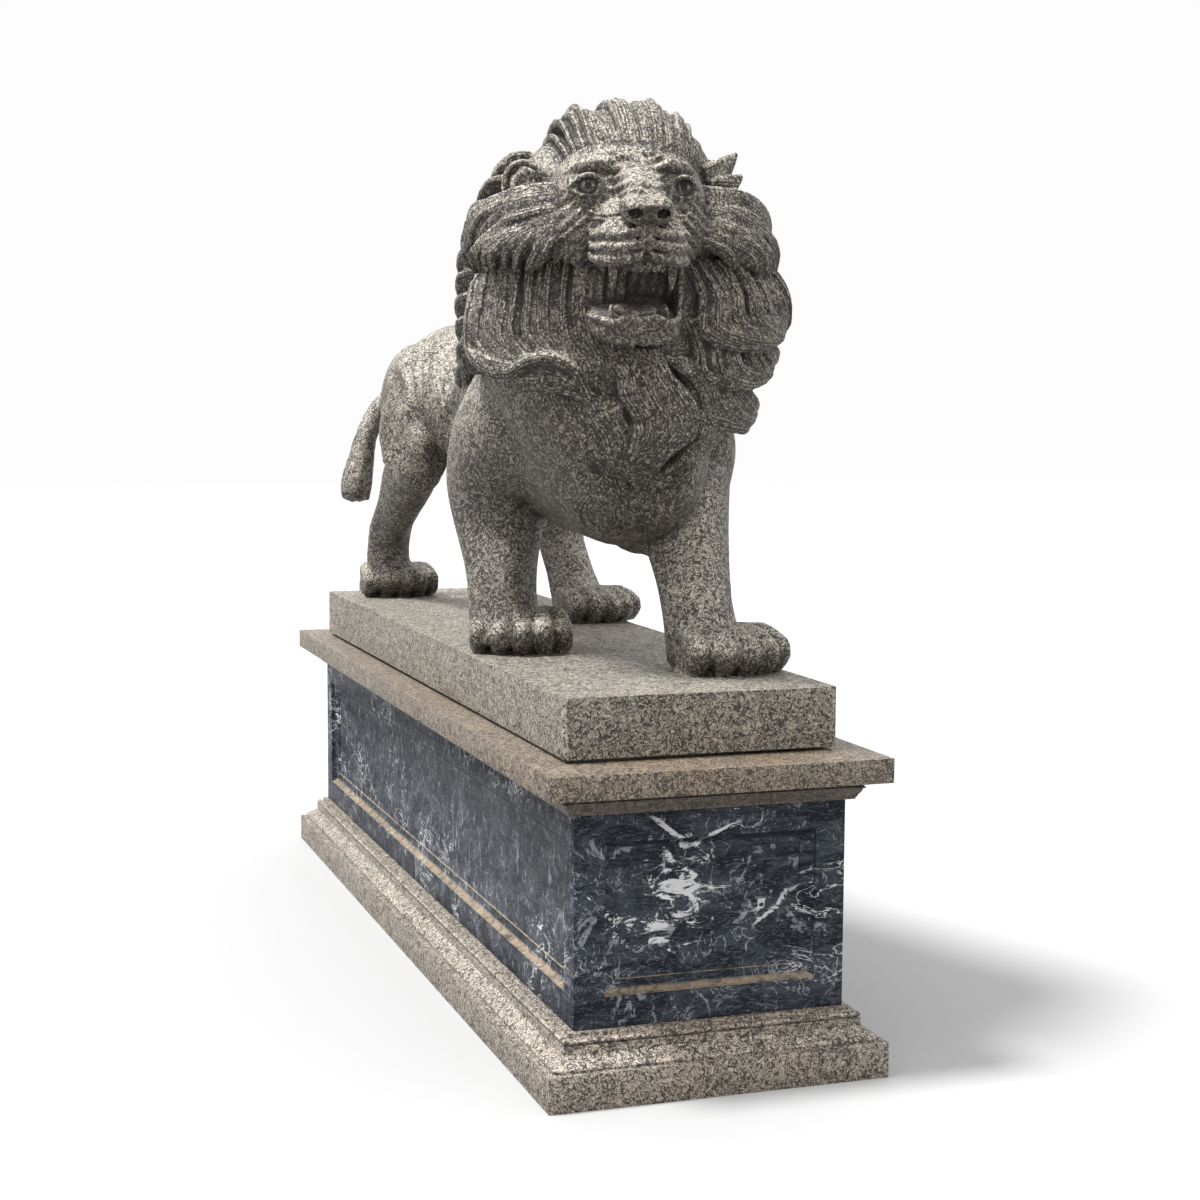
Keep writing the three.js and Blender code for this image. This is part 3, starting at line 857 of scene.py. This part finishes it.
def lock(places, width, thickness, ridges=2, facing=from_mane_axis):
    """A carved lock: a grooved strand from a narrower root over a full belly to a thin tip."""
    places = flowing(places, 30)
    t = np.linspace(0, 1, len(places))
    swell = 0.6 + 0.4 * np.sin(np.minimum(t / 0.35, 1) * math.pi / 2) - 1.6 * np.maximum(t - 0.6, 0) ** 1.1
    rows = np.column_stack([places, width * swell, thickness * np.maximum(swell, 0.3)])
    mane.roll(rows, sides=24, facing=facing, ridges=ridges, groove=0.3, dome=0.9, spacing=9)


def mane_lock(stops, width, thickness, ridges=2):
    lock([on_mane(*stop) for stop in stops], width, thickness, ridges)


def blend(a, b, t):
    return a + (b - a) * t


chance = np.random.default_rng(11)


def comb(first, last, count, width, thickness, stray=0.25, step=4, sway=2.2):
    """Close strands side by side, from one border of a field of hair to the other, each a bit different."""
    first, last = np.array(first, float), np.array(last, float)
    for i in range(count):
        t = np.clip((i + chance.uniform(-stray, stray)) / (count - 1), 0, 1)
        stops = blend(first, last, t)
        stops[1:, 2] += chance.uniform(-step, step) + step * (i % 2)
        stops[1:-1, 1] += chance.uniform(-step, step, len(stops) - 2)
        stops[1:-1, 0] += sway * np.sin(2.1 * np.arange(1, len(stops) - 1) + 2.4 * t)
        mane_lock(stops, width * chance.uniform(0.8, 1.15), thickness)


strands = 96
strand_depth = 5
heights = flowing(mane_rows, 9)
angles = np.arange(720) / 2
rings = []
for h, cx, cy, a, b in heights:
    bearing = (angles + 180) % 360 - 180
    flow = bearing / 360 * strands + 0.9 * np.sin(h / 52 + np.radians(bearing) * 2.0)
    lift = strand_depth * (np.abs(np.sin(math.pi * flow)) ** 0.8 - 0.6)
    turn = np.radians(angles)
    x, y = cx + (a + lift) * np.sin(turn), cy - (b + lift) * np.cos(turn)
    rings.append(np.stack([x, y, h + 0 * turn], -1))
rings = np.array(rings)
mane.add(rings, rings[0].mean(0) - 20 * up, rings[-1].mean(0) + 20 * up)
nape_rows = np.array([
    [-30, -745, 930, 246, 211],
    [-18, -540, 850, 254, 228],
    [-5, -300, 745, 236, 201],
    [0, -100, 662, 196, 156],
], float)
mane.roll(nape_rows, sides=200, ridges=22, groove=0.05)

# Cheek ruffs: strands fan from beside the face, out and down, and end in an edge that hangs over the neck.
comb([(-34, 1052, 24), (-58, 1046, 44), (-82, 1010, 50), (-100, 930, 40)],
     [(-20, 950, 20), (-24, 938, 46), (-29, 915, 52), (-32, 886, 40)], 17, 12.5, 22)
comb([(22, 1056, 24), (46, 1050, 44), (70, 1010, 50), (92, 930, 44)],
     [(12, 948, 20), (16, 938, 40), (22, 916, 46), (27, 888, 36)], 16, 12.5, 22)
comb([(-52, 1000, 30), (-66, 960, 60), (-74, 915, 62), (-78, 876, 44)],
     [(-30, 960, 30), (-36, 935, 58), (-42, 905, 60), (-47, 878, 44)], 8, 10, 18)
comb([(38, 1010, 30), (54, 975, 56), (66, 935, 60), (74, 892, 46)],
     [(20, 965, 26), (26, 940, 50), (33, 912, 54), (40, 884, 42)], 8, 10, 18)

# Right side of the neck, below the ruff: strands hang close together, then sweep forward along the hem.
comb([(-92, 900, 4), (-88, 810, 30), (-84, 730, 38), (-72, 684, 42), (-56, 676, 44), (-42, 690, 40),
      (-32, 668, 34)],
     [(-14, 900, 0), (-15, 820, 6), (-14, 740, 10), (-13, 690, 14), (-12, 650, 18), (-11, 610, 20),
      (-10, 570, 18)],
     22, 12, 20)
mane.roll([
    [*on_mane(-86, 860, 26), 9, 14],
    [*on_mane(-82, 780, 44), 13, 18],
    [*on_mane(-80, 712, 50), 14, 20],
    [*on_mane(-70, 668, 54), 15, 20],
    [*on_mane(-58, 660, 54), 15, 20],
    [*on_mane(-49, 684, 52), 14, 20],
    [*on_mane(-40, 690, 50), 14, 19],
    [*on_mane(-32, 662, 46), 13, 18],
    [*on_mane(-27, 604, 40), 10, 14],
    [*on_mane(-22, 568, 30), 5, 8],
], facing=from_mane_axis, ridges=2, groove=0.3, spacing=9, sides=24)
comb([(-70, 690, 8), (-62, 654, 34), (-52, 652, 42), (-40, 660, 40), (-31, 620, 34), (-25, 560, 22)],
     [(-30, 690, 20), (-27, 640, 28), (-24, 600, 30), (-22, 570, 28), (-20, 540, 24), (-17, 505, 14)],
     9, 11, 18)

# Left side of the neck: three fields whose strands hang, then swing outwards into lobes at the outline.
comb([(12, 900, 0), (14, 820, 8), (18, 760, 20), (30, 728, 38), (50, 732, 54), (76, 754, 62)],
     [(86, 915, 34), (90, 885, 56), (92, 850, 68), (92, 815, 70), (90, 790, 68), (88, 770, 60)], 18, 13, 20)
comb([(12, 770, 4), (15, 710, 14), (22, 664, 28), (36, 640, 44), (54, 644, 58), (68, 656, 58)],
     [(66, 735, 20), (76, 724, 48), (84, 710, 62), (86, 698, 64), (84, 686, 60), (80, 674, 50)], 11, 13, 20)
comb([(13, 660, 4), (17, 606, 16), (25, 566, 30), (40, 546, 46), (60, 540, 58), (78, 532, 56)],
     [(44, 650, 14), (54, 632, 36), (66, 608, 54), (78, 588, 66), (86, 570, 66), (92, 548, 56)], 10, 12, 19)

# Sides behind the ruffs: short locks one over another, whose curled tips make scallops at the outline.
for side in (-1, 1):
    for i in range(9):
        height = blend(690, 1090, i / 8)
        for j in range(3):
            mane_lock([
                [side * (92 + 3 * j), height + 46 - 14 * j, 6],
                [side * (101 + 3 * j), height + 40 - 14 * j, 32 - 3 * j],
                [side * (114 + 2 * j), height + 12 - 14 * j, 40 - 3 * j],
                [side * (128 + 3 * j), height + 6 - 12 * j, 32],
                [side * (144 + 4 * j), height - 34 - 10 * j, 12],
            ], 13, 22)


def away_from(x, y, z):
    return lambda points: points - np.array([x, y, z])


# Crown: strands rise from the forehead, close together, and sweep back over the top in uneven lobes.
for i in range(23):
    across = blend(-1.14, 1.18, i / 22)
    fall = across * across
    lobe = 8 * math.cos(12 * across + 3.6) + 24 * math.exp(-((across + 0.95) / 0.24) ** 2)
    lobe += chance.uniform(-4, 4)
    lock([
        [across * 108 - 62, -1026 + 74 * fall, 1096 - 10 * fall],
        [across * 122 - 56, -1000 + 76 * fall, 1150 - 26 * fall],
        [across * 138 - 46, -930 + 66 * fall, 1210 - 44 * fall + lobe],
        [across * 146 - 36, -850 + 50 * fall, 1232 - 60 * fall + lobe],
        [across * 150 - 26, -740, 1206 - 66 * fall + lobe],
        [across * 146 - 20, -650, 1130 - 60 * fall],
    ], 8.5, 19 + 9 * (i % 2), facing=away_from(-30, -840, 1000))

# Back of the head and nape: tiers of locks that hang one over another down to the withers.
for tier, height in enumerate((1215, 1165, 1085, 1000, 910, 820)):
    for i in range(15):
        spread = 48 if tier < 2 else 80
        angle = 180 + spread * blend(-1, 1, (i + 0.5 * (tier % 2) + chance.uniform(-0.15, 0.15)) / 15)
        curl = chance.choice((-1, 1)) * chance.uniform(2, 6)
        mane_lock([
            [angle, height + 20, 2],
            [angle + curl, height - 40, 18],
            [angle - 0.6 * curl, height - 96, 24],
            [angle + curl, height - 150, 14],
        ], 24, 19, ridges=3)


def on_nape(angle, t, lift):
    """A place on the nape: an angle from the top, how far along towards the withers, and a lift."""
    stops = np.linspace(0, 1, len(nape_rows))
    x, y, z, a, b = (np.interp(t, stops, nape_rows[:, k]) for k in range(5))
    turn = math.radians(angle)
    aside = np.array([1, 0, 0])
    out = np.array([0, 0.38, 0.92])
    return np.array([x, y, z]) + (a + lift) * math.sin(turn) * aside + (b + lift) * math.cos(turn) * out


for tier, t in enumerate((0.22, 0.42, 0.62, 0.8)):
    for i in range(14):
        angle = blend(-100, 100, (i + 0.5 * (tier % 2) + chance.uniform(-0.15, 0.15)) / 13.5)
        curl = chance.choice((-1, 1)) * chance.uniform(2, 7)
        lock([
            on_nape(angle, t, -2),
            on_nape(angle + curl, t + 0.09, 15),
            on_nape(angle - 0.6 * curl, t + 0.19, 19),
            on_nape(angle + curl, t + 0.30, 6),
        ], 29, 20, ridges=3, facing=away_from(0, -400, 500))

# Beard: one long mass of fine strands in an S, from under the jaw to a point between the forelegs, over a
# backing that fills the gaps behind it.
backing = [(-6, 600, -22, (95, 62, 170)), (24, 690, -12, (52, 42, 110))]
for angle, height, lift, size in backing:
    mane.lump(*on_mane(angle, height, lift), *size)
comb([(-20, 700, 12), (-17, 655, 40), (-12, 612, 54), (-9, 560, 56), (-13, 505, 48), (-14, 460, 38),
      (-9, 412, 26)],
     [(-1, 712, 12), (6, 655, 40), (13, 604, 50), (14, 545, 52), (7, 490, 48), (-2, 448, 38),
      (-7, 408, 26)],
     8, 12, 26)
comb([(4, 690, 4), (16, 640, 22), (26, 588, 32), (24, 530, 34), (14, 475, 28), (6, 435, 12)],
     [(14, 690, 2), (30, 640, 14), (42, 590, 22), (40, 530, 22), (30, 480, 18), (22, 445, 6)], 6, 12, 20)
comb([(-46, 650, 4), (-44, 590, 20), (-34, 540, 26), (-34, 490, 24), (-26, 440, 8)],
     [(-14, 630, 20), (-13, 570, 36), (-12, 520, 38), (-17, 470, 32), (-15, 425, 12)], 10, 12, 20)
# Chest: low locks that follow the breast down between the forelegs.
for x, y, z, lean in [
    (-120, -880, 545, -1), (-85, -905, 500, 1), (-50, -915, 465, -1), (-10, -915, 450, 1),
    (35, -905, 470, 1), (80, -885, 505, -1), (-105, -862, 450, 1), (-60, -885, 430, -1),
]:
    for j in (-1, 0, 1):
        lock([
            [x + 14 * j, y + 40, z],
            [x + 14 * j + 14 * lean, y + 20, z - 40],
            [x + 13 * j - 6 * lean, y + 34, z - 82],
            [x + 10 * j + 6 * lean, y + 66, z - 118],
        ], 10, 16, facing=forward)
mane_piece = mane.fuse("lion_mane", mane_grain, soften=1)
guides = mane.guides

# Head: modelled about the middle of the skull, x across, -y along the muzzle, then turned a little.
head_turn = -9
head_scale = 0.975
head_place = np.array([-76, -930, 995])
head_spin = head_scale * turned(head_turn)


def on_head(points):
    return np.asarray(points) @ head_spin + head_place


head = Clay()


def skull(rows, **cut):
    head.roll(rows, at=on_head, **cut)


def feature(rows, sides=16, spacing=6, **cut):
    """A roll on the face, with its outside towards the front."""
    skull(rows, facing=forward, sides=sides, spacing=spacing, **cut)


# Skull, bridge of the nose, muzzle, nose and its cleft, lower jaw and tongue.
skull([
    [0, 210, 20, 60, 60],
    [0, 120, 20, 148, 138],
    [0, 20, 22, 176, 158],
    [0, -70, 24, 156, 130],
    [0, -128, 22, 84, 72],
], sides=48)
skull([
    [0, -20, 92, 72, 50],
    [0, -110, 66, 54, 40],
    [0, -190, 30, 46, 34],
    [0, -226, 8, 43, 24],
], square=2.6)
skull([[0, -60, -35, 104, 80], [0, -150, -38, 92, 66], [0, -205, -42, 66, 48]], square=2.4)
skull([[0, -212, 2, 56, 26], [0, -248, -12, 55, 31], [0, -266, -24, 38, 24]], square=2.8)
head.lump(0, -232, -62, 20, 24, 40, at=on_head)
skull([[0, -10, -205, 102, 48], [0, -110, -250, 92, 34], [0, -168, -258, 74, 28]], square=2.6)
skull([
    [0, 0, -212, 48, 20],
    [0, -70, -205, 50, 18],
    [0, -128, -212, 46, 14],
    [0, -156, -222, 34, 8],
], ridges=1, groove=0.35, dome=0.9)
for s in (-1, 1):
    # Cheek, muzzle, brow, eyeball, upper and lower lid, and the crease from the eye to the nose.
    head.lump(s * 112, -20, -28, 64, 90, 80, at=on_head)
    head.lump(s * 50, -186, -66, 50, 58, 46, at=on_head)
    feature([
        [s * 30, -130, 84, 9, 9],
        [s * 66, -122, 98, 14, 14],
        [s * 112, -90, 95, 14, 13],
        [s * 142, -50, 78, 9, 9],
    ], sides=24, spacing=12)
    head.lump(s * 104, -86, 52, 30, 29, 24, at=on_head)
    feature([
        [s * 62, -114, 42, 4, 6],
        [s * 78, -120, 62, 5, 10],
        [s * 98, -124, 73, 6, 12],
        [s * 120, -114, 69, 6, 11],
        [s * 142, -88, 50, 5, 7],
    ], spacing=5)
    feature([
        [s * 62, -114, 42, 4, 6],
        [s * 80, -120, 35, 5, 8],
        [s * 101, -118, 30, 5, 9],
        [s * 122, -106, 35, 5, 8],
        [s * 142, -88, 48, 4, 6],
    ], spacing=5)
    feature([[s * 44, -140, 26, 7, 10], [s * 56, -128, 44, 9, 12], [s * 60, -118, 66, 8, 10]])
    # The corner of the mouth, set further back at the lion's right, with folds behind it.
    back = 0 if s > 0 else 40
    feature([
        [s * 102, back - 52, -70, 9, 52],
        [s * 107, back - 33, -150, 9, 40],
        [s * 98, back - 48, -240, 9, 54],
    ], sides=24, spacing=12)
    for ridge in range(2 * (s < 0), 3 + 2 * (s < 0)):
        front = -92 + 24 * ridge + 6 * abs(s - 1)
        feature([
            [s * 101, front - 16, -88, 5, 8],
            [s * 107, front + 14, -152, 6, 8],
            [s * 98, front - 10, -228, 5, 8],
        ], sides=12, spacing=12)
    # Upper and lower canine, the small teeth between them, the lips' rolls, and the whiskers' rolls.
    feature([[s * 62, -192, -100, 13, 13], [s * 64, -196, -136, 10, 10], [s * 62, -188, -172, 4, 5]])
    feature([[s * 58, -146, -236, 10, 10], [s * 60, -152, -218, 7, 8], [s * 59, -150, -200, 3, 4]])
    for tooth in (8, 24, 40):
        head.lump(s * tooth, -208, -122, 8, 8, 15, at=on_head, sides=12)
        head.lump(s * tooth, -170, -234, 8, 8, 11, at=on_head, sides=12)
    for drop, bulge in ((-56, 1.0), (-82, 1.01), (-107, 0.98)):
        feature([
            [s * 9, -240 * bulge, drop + 4, 8, 10],
            [s * 50, -247 * bulge, drop - 5, 12, 14],
            [s * 88, -206 * bulge, drop - 4, 12, 12],
            [s * 100, -130, drop + 8, 9, 10],
        ])
    for whisker in range(3):
        feature([
            [s * (40 + 8 * whisker), -232 + 8 * whisker, -34 + 9 * whisker, 3, 6],
            [s * (74 + 5 * whisker), -206 + 10 * whisker, -40 + 12 * whisker, 4, 7],
            [s * (100 + 4 * whisker), -160, -36 + 14 * whisker, 3, 6],
        ], sides=12)
    feature([
        [0, -196, -238, 8, 9],
        [s * 30, -200, -230, 8, 10],
        [s * 56, -186, -241, 9, 10],
        [s * 82, -152, -233, 8, 9],
        [s * 100, -96, -222, 6, 8],
    ], spacing=12)
    for furrow in range(3):
        skull([
            [s * (14 + 16 * furrow), -112, 118 - 3 * furrow, 4, 5],
            [s * (18 + 20 * furrow), -82, 142 - 4 * furrow, 5, 6],
            [s * (16 + 24 * furrow), -40, 158 - 5 * furrow, 4, 5],
        ], sides=12)


# Ears: at the lion's right a cupped shell with hair inside, at its left two pointed leaves of a turned ear.
def on_right_ear(points):
    lean = math.radians(-30)
    tilt = np.array([[math.cos(lean), 0, -math.sin(lean)], [0, 1, 0], [math.sin(lean), 0, math.cos(lean)]])
    return on_head(np.asarray(points) * [1, 1, 0.86] @ tilt @ turned(-34) + np.array([-204, 50, 62]))


ear_rim = [
    [-30, -10, -58, 9, 14],
    [-50, -14, -22, 9, 15],
    [-52, -16, 18, 9, 15],
    [-36, -16, 52, 9, 14],
    [-8, -14, 70, 8, 13],
    [22, -14, 56, 9, 13],
    [40, -12, 24, 9, 12],
    [42, -10, -14, 8, 12],
    [30, -8, -48, 7, 10],
]
head.roll(ear_rim, at=on_right_ear, facing=forward, sides=20, spacing=6)
head.lump(-4, 18, 2, 50, 20, 62, at=on_right_ear)
for hair, lean in ((-26, 10), (-8, 2), (10, -6), (26, -14)):
    tuft_rows = [[hair, -12, -60, 9, 11], [hair + lean / 2, -16, -20, 8, 11], [hair + lean, -6, 26, 3, 5]]
    head.roll(tuft_rows, at=on_right_ear, facing=forward, sides=16, ridges=1, groove=0.5)
for tip, root in [((262, 62, 150), (188, 44, 92)), ((272, 48, 100), (196, 40, 62))]:
    x, y, z = ((tip[k] + root[k]) / 2 for k in range(3))
    feature([[*root, 30, 18], [x, y, z - 8, 27, 17], [*tip, 6, 6]], sides=28, ridges=1, groove=0.45)
head_piece = head.fuse("lion_head", head_grain, soften=2)

# Nostrils, drilled into the nose.
drilled = Clay()
for s in (-1, 1):
    nostril_rows = [[s * 24, -292, -20, 9, 8], [s * 28, -270, -20, 14, 11], [s * 44, -238, -10, 9, 8]]
    drilled.roll(nostril_rows, at=on_head, sides=16, spacing=5)
nostrils = drilled.fuse("nostrils", nostril_grain)
drill = head_piece.modifiers.new("nostrils", "BOOLEAN")
drill.operation = "DIFFERENCE"
drill.solver = "MANIFOLD"
drill.object = nostrils
apply_modifiers(head_piece)
bpy.data.objects.remove(nostrils)

# The cleft under the nose, and the fine creases that run over the bridge, the jaw and the cheeks.
points, normals = read_points(head_piece)
across, along, above = ((points - head_place) @ np.linalg.inv(head_spin)).T
relief = -8 * np.exp(-(across / 6) ** 2) * window(above, -112, -46, 10) * (along < -180)
bridge = window(np.abs(across), 0, 52, 20) * window(above, 34, 120, 16) * (along < -60)
relief += 2.6 * bridge * np.sin(above / 3.4 + 1.6 * np.sin(across / 13))
jaw = window(above, -300, -250, 8) * (along < -40)
relief += 2.4 * jaw * np.sin(across / 4.6 + 1.8 * np.sin(above / 11))
cheek = window(np.abs(across), 92, 180, 16) * window(above, -92, 20, 24)
relief += 2.4 * cheek * np.sin((above + 0.9 * np.abs(across)) / 4.2 + 1.3 * np.sin(along / 21))
write_points(head_piece, points + normals * relief[:, None])

# Slab: square-edged, its upright corners and arrises just eased, on a bed that stands in from its edge.
bpy.ops.mesh.primitive_cube_add(size=1, location=(0, 0, slab_top - slab_height / 2))
lion = bpy.context.object
lion.name = "lion_carved"
lion.scale = (slab_width, slab_length, slab_height)
settle(lion)
bpy.ops.object.mode_set(mode="EDIT")
select_faces(lion.data, lambda centre, normal: normal.z < -0.9)
bpy.ops.mesh.inset(thickness=bed_recess)
bpy.ops.mesh.extrude_region_move(TRANSFORM_OT_translate={"value": (0, 0, -bed_depth)})
bpy.ops.mesh.select_mode(type="EDGE")
bpy.ops.mesh.select_all(action="DESELECT")
bpy.ops.object.mode_set(mode="OBJECT")
for edge in lion.data.edges:
    a, b = (lion.data.vertices[i].co for i in edge.vertices)
    edge.select = abs(a.z - b.z) > slab_height / 2
bpy.ops.object.mode_set(mode="EDIT")
bpy.ops.mesh.bevel(offset=slab_corner, segments=4, affect="EDGES")
bpy.ops.object.mode_set(mode="OBJECT")
ease_arrises(lion, slab_arris)

# All of it becomes one skin. Flat stone gives up its triangles first, and the face keeps the most.
carved_triangles = 197000
for part in (body, paw_piece, mane_piece, head_piece):
    joined = lion.modifiers.new("joined", "BOOLEAN")
    joined.operation = "UNION"
    joined.solver = "MANIFOLD"
    joined.object = part
    apply_modifiers(lion)
    bpy.data.objects.remove(part)
points, normals = read_points(lion)
of_face = np.exp(-(np.linalg.norm((points - on_head([0, -140, -60])) / [190, 190, 230], axis=1)) ** 4)
of_mane = window(points[:, 2], 560, 1300, 150) * window(points[:, 1], -1300, -250, 150)
keep = lion.vertex_groups.new(name="keep")
weights = np.clip(0.25 + 0.25 * of_mane + 0.5 * of_face, 0, 1)
for level in np.unique(weights.round(1)):
    keep.add(np.flatnonzero(weights.round(1) == level).tolist(), float(level), "REPLACE")
count = sum(len(polygon.vertices) - 2 for polygon in lion.data.polygons)
thin = lion.modifiers.new("thin", "DECIMATE")
thin.ratio = min(1, carved_triangles / count)
thin.vertex_group = "keep"
thin.invert_vertex_group = True
thin.vertex_group_factor = 0.6
apply_modifiers(lion)
lion.vertex_groups.clear()

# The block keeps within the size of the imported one.
points, normals = read_points(lion)
low = (np.array(lion_low) - [0, 0, slab_top]) * 1000 + 0.5
high = (np.array(lion_high) - [0, 0, slab_top]) * 1000 - 0.5
low[2] -= 0.5
write_points(lion, np.clip(points, low, high))
points, normals = read_points(lion)

# How hollow each point of the skin lies, for the dark dust and painted shade in the cuts and the painted
# highlight on the crests beside them. The mouth gets dark dirt and painted shade, and the nose and the hair
# below the ruffs more painted shade.
edges = np.empty(len(lion.data.edges) * 2, int)
lion.data.edges.foreach_get("vertices", edges)
edges = edges.reshape(-1, 2)
neighbours = np.bincount(edges.ravel(), minlength=len(points))[:, None].clip(1)


def evened(values):
    total = np.zeros_like(values)
    np.add.at(total, edges[:, 0], values[edges[:, 1]])
    np.add.at(total, edges[:, 1], values[edges[:, 0]])
    return total / neighbours


around = points
for _ in range(6):
    around = 0.4 * around + 0.6 * evened(around)
length = np.linalg.norm(points[edges[:, 0]] - points[edges[:, 1]], axis=1)
reach = np.bincount(edges.ravel(), np.repeat(length, 2), len(points))[:, None] / neighbours
depth = ((around - points) * normals).sum(1, keepdims=True) * np.minimum(1, (9 / reach) ** 2)
depth = (0.5 * depth + 0.5 * evened(depth)).ravel()
depth[points[:, 2] < 3] = 0
across, along, above = ((points - head_place) @ np.linalg.inv(head_spin)).T
# Painted shade in the mouth, with its dirt, below the ruffs and on the nose.
in_mouth = window(np.abs(across), 0, 78, 16) * window(above, -222, -128, 20) * window(along, -150, 60, 30)
below_ruff = window(np.abs(across + 20), 120, 205, 34) * window(above, -180, -118, 46)
below_ruff *= window(along, -240, 40, 40)
nose = window(np.abs(across), 0, 46, 10) * window(above, -44, -6, 8) * window(along, -330, -258, 8)
level_shade = 0.4
shade_per_mm = 0.12
shade = level_shade + depth * shade_per_mm + 0.30 * in_mouth + 0.25 * below_ruff + 0.34 * nose
shade = np.clip(shade, 0, 1)
# The bed recess under the slab is painted fully dark: painted shade.
bed_half_width, bed_half_length = ((size / 2 - bed_recess) * 1000 + 1 for size in (slab_width, slab_length))
in_joint = (points[:, 2] < 1 - slab_height * 1000) & (np.abs(points[:, 0]) < bed_half_width)
shade[in_joint & (np.abs(points[:, 1]) < bed_half_length)] = 1
hollow = lion.data.attributes.new("hollow", "FLOAT", "POINT")
hollow.data.foreach_set("value", shade)

# Which way the hair runs: how many cuts across the nearest lock a point lies, and whether it lies on hair.
cut_spacing = 7.5
hair_reach = 36
hair_edge = 10
middles = np.concatenate([centres[::2] for centres, _ in guides])
sideways = np.concatenate([width[::2] for _, width in guides])
tree = KDTree(len(middles))
for index, middle in enumerate(middles):
    tree.insert(middle, index)
tree.balance()
strand = np.zeros(len(points))
combed = np.zeros(len(points))
hairy = (points[:, 2] > 250) & (points[:, 1] < 120)
for index in np.flatnonzero(hairy):
    _, nearest, gap = tree.find(points[index])
    strand[index] = (points[index] - middles[nearest]) @ sideways[nearest] / cut_spacing
    combed[index] = min(1, max(0, (hair_reach - gap) / hair_edge))
face_gap = np.linalg.norm((points - on_head([0, -120, -40])) / [150, 190, 190], axis=1)
combed *= np.clip((face_gap - 0.9) / 0.2, 0, 1)
for name, values in (("strand", strand), ("combed", combed)):
    attribute = lion.data.attributes.new(name, "FLOAT", "POINT")
    attribute.data.foreach_set("value", values)

for polygon in lion.data.polygons:
    polygon.use_smooth = polygon.center.z > slab_top + 0.002
lion.data.materials.clear()
lion.data.materials.append(granite(
    "lion_granite",
    ground=(0.32, 0.29, 0.243),
    warm=(0.32, 0.275, 0.214),
    mica=(0.046, 0.040, 0.033),
    black=(0.022, 0.019, 0.016),
    gloss=0.58,
    carved_above=slab_top,
    eyes=[tuple(in_place(on_head([s * 104, -112, 52]))) for s in (-1, 1)],
))
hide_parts("lion")
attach(lion, "root")


# Ground and light
# A plain pale floor, a white room that is brighter overhead, and one soft sun, high over the lion's right
# side and a little behind it. Colours are shown as they are, without a film look.
floor_size = 60
horizon = 0.25
zenith = 0.95
horizon_strength = 0.98
zenith_strength = 2.0
toward_light = Vector((-0.80, 0.12, 1.67))
key_strength = 5.8
key_softness = math.radians(12)

bpy.ops.mesh.primitive_plane_add(size=floor_size, location=(0, 0, 0))
floor = bpy.context.object
floor.name = "floor"
pale = Finish("pale_floor")
pale.set(Base_Color=(0.33, 0.33, 0.33), Roughness=0.9)
floor.data.materials.append(pale.material)

room = bpy.data.worlds.new("room")
room.use_nodes = True
sky = room.node_tree.nodes
sky["Background"].inputs["Color"].default_value = (1, 1, 1, 1)
heights = sky.new("ShaderNodeSeparateXYZ")
brighten = sky.new("ShaderNodeMapRange")
brighten.inputs["From Min"].default_value = horizon
brighten.inputs["From Max"].default_value = zenith
brighten.inputs["To Min"].default_value = horizon_strength
brighten.inputs["To Max"].default_value = zenith_strength
room.node_tree.links.new(sky.new("ShaderNodeTexCoord").outputs["Generated"], heights.inputs[0])
room.node_tree.links.new(heights.outputs["Z"], brighten.inputs["Value"])
room.node_tree.links.new(brighten.outputs["Result"], sky["Background"].inputs["Strength"])
bpy.context.scene.world = room

bpy.ops.object.light_add(type="SUN", rotation=toward_light.to_track_quat("Z", "Y").to_euler())
key = bpy.context.object
key.name = "key_above_left"
key.data.energy = key_strength
key.data.angle = key_softness
bpy.context.scene.view_settings.view_transform = "Standard"
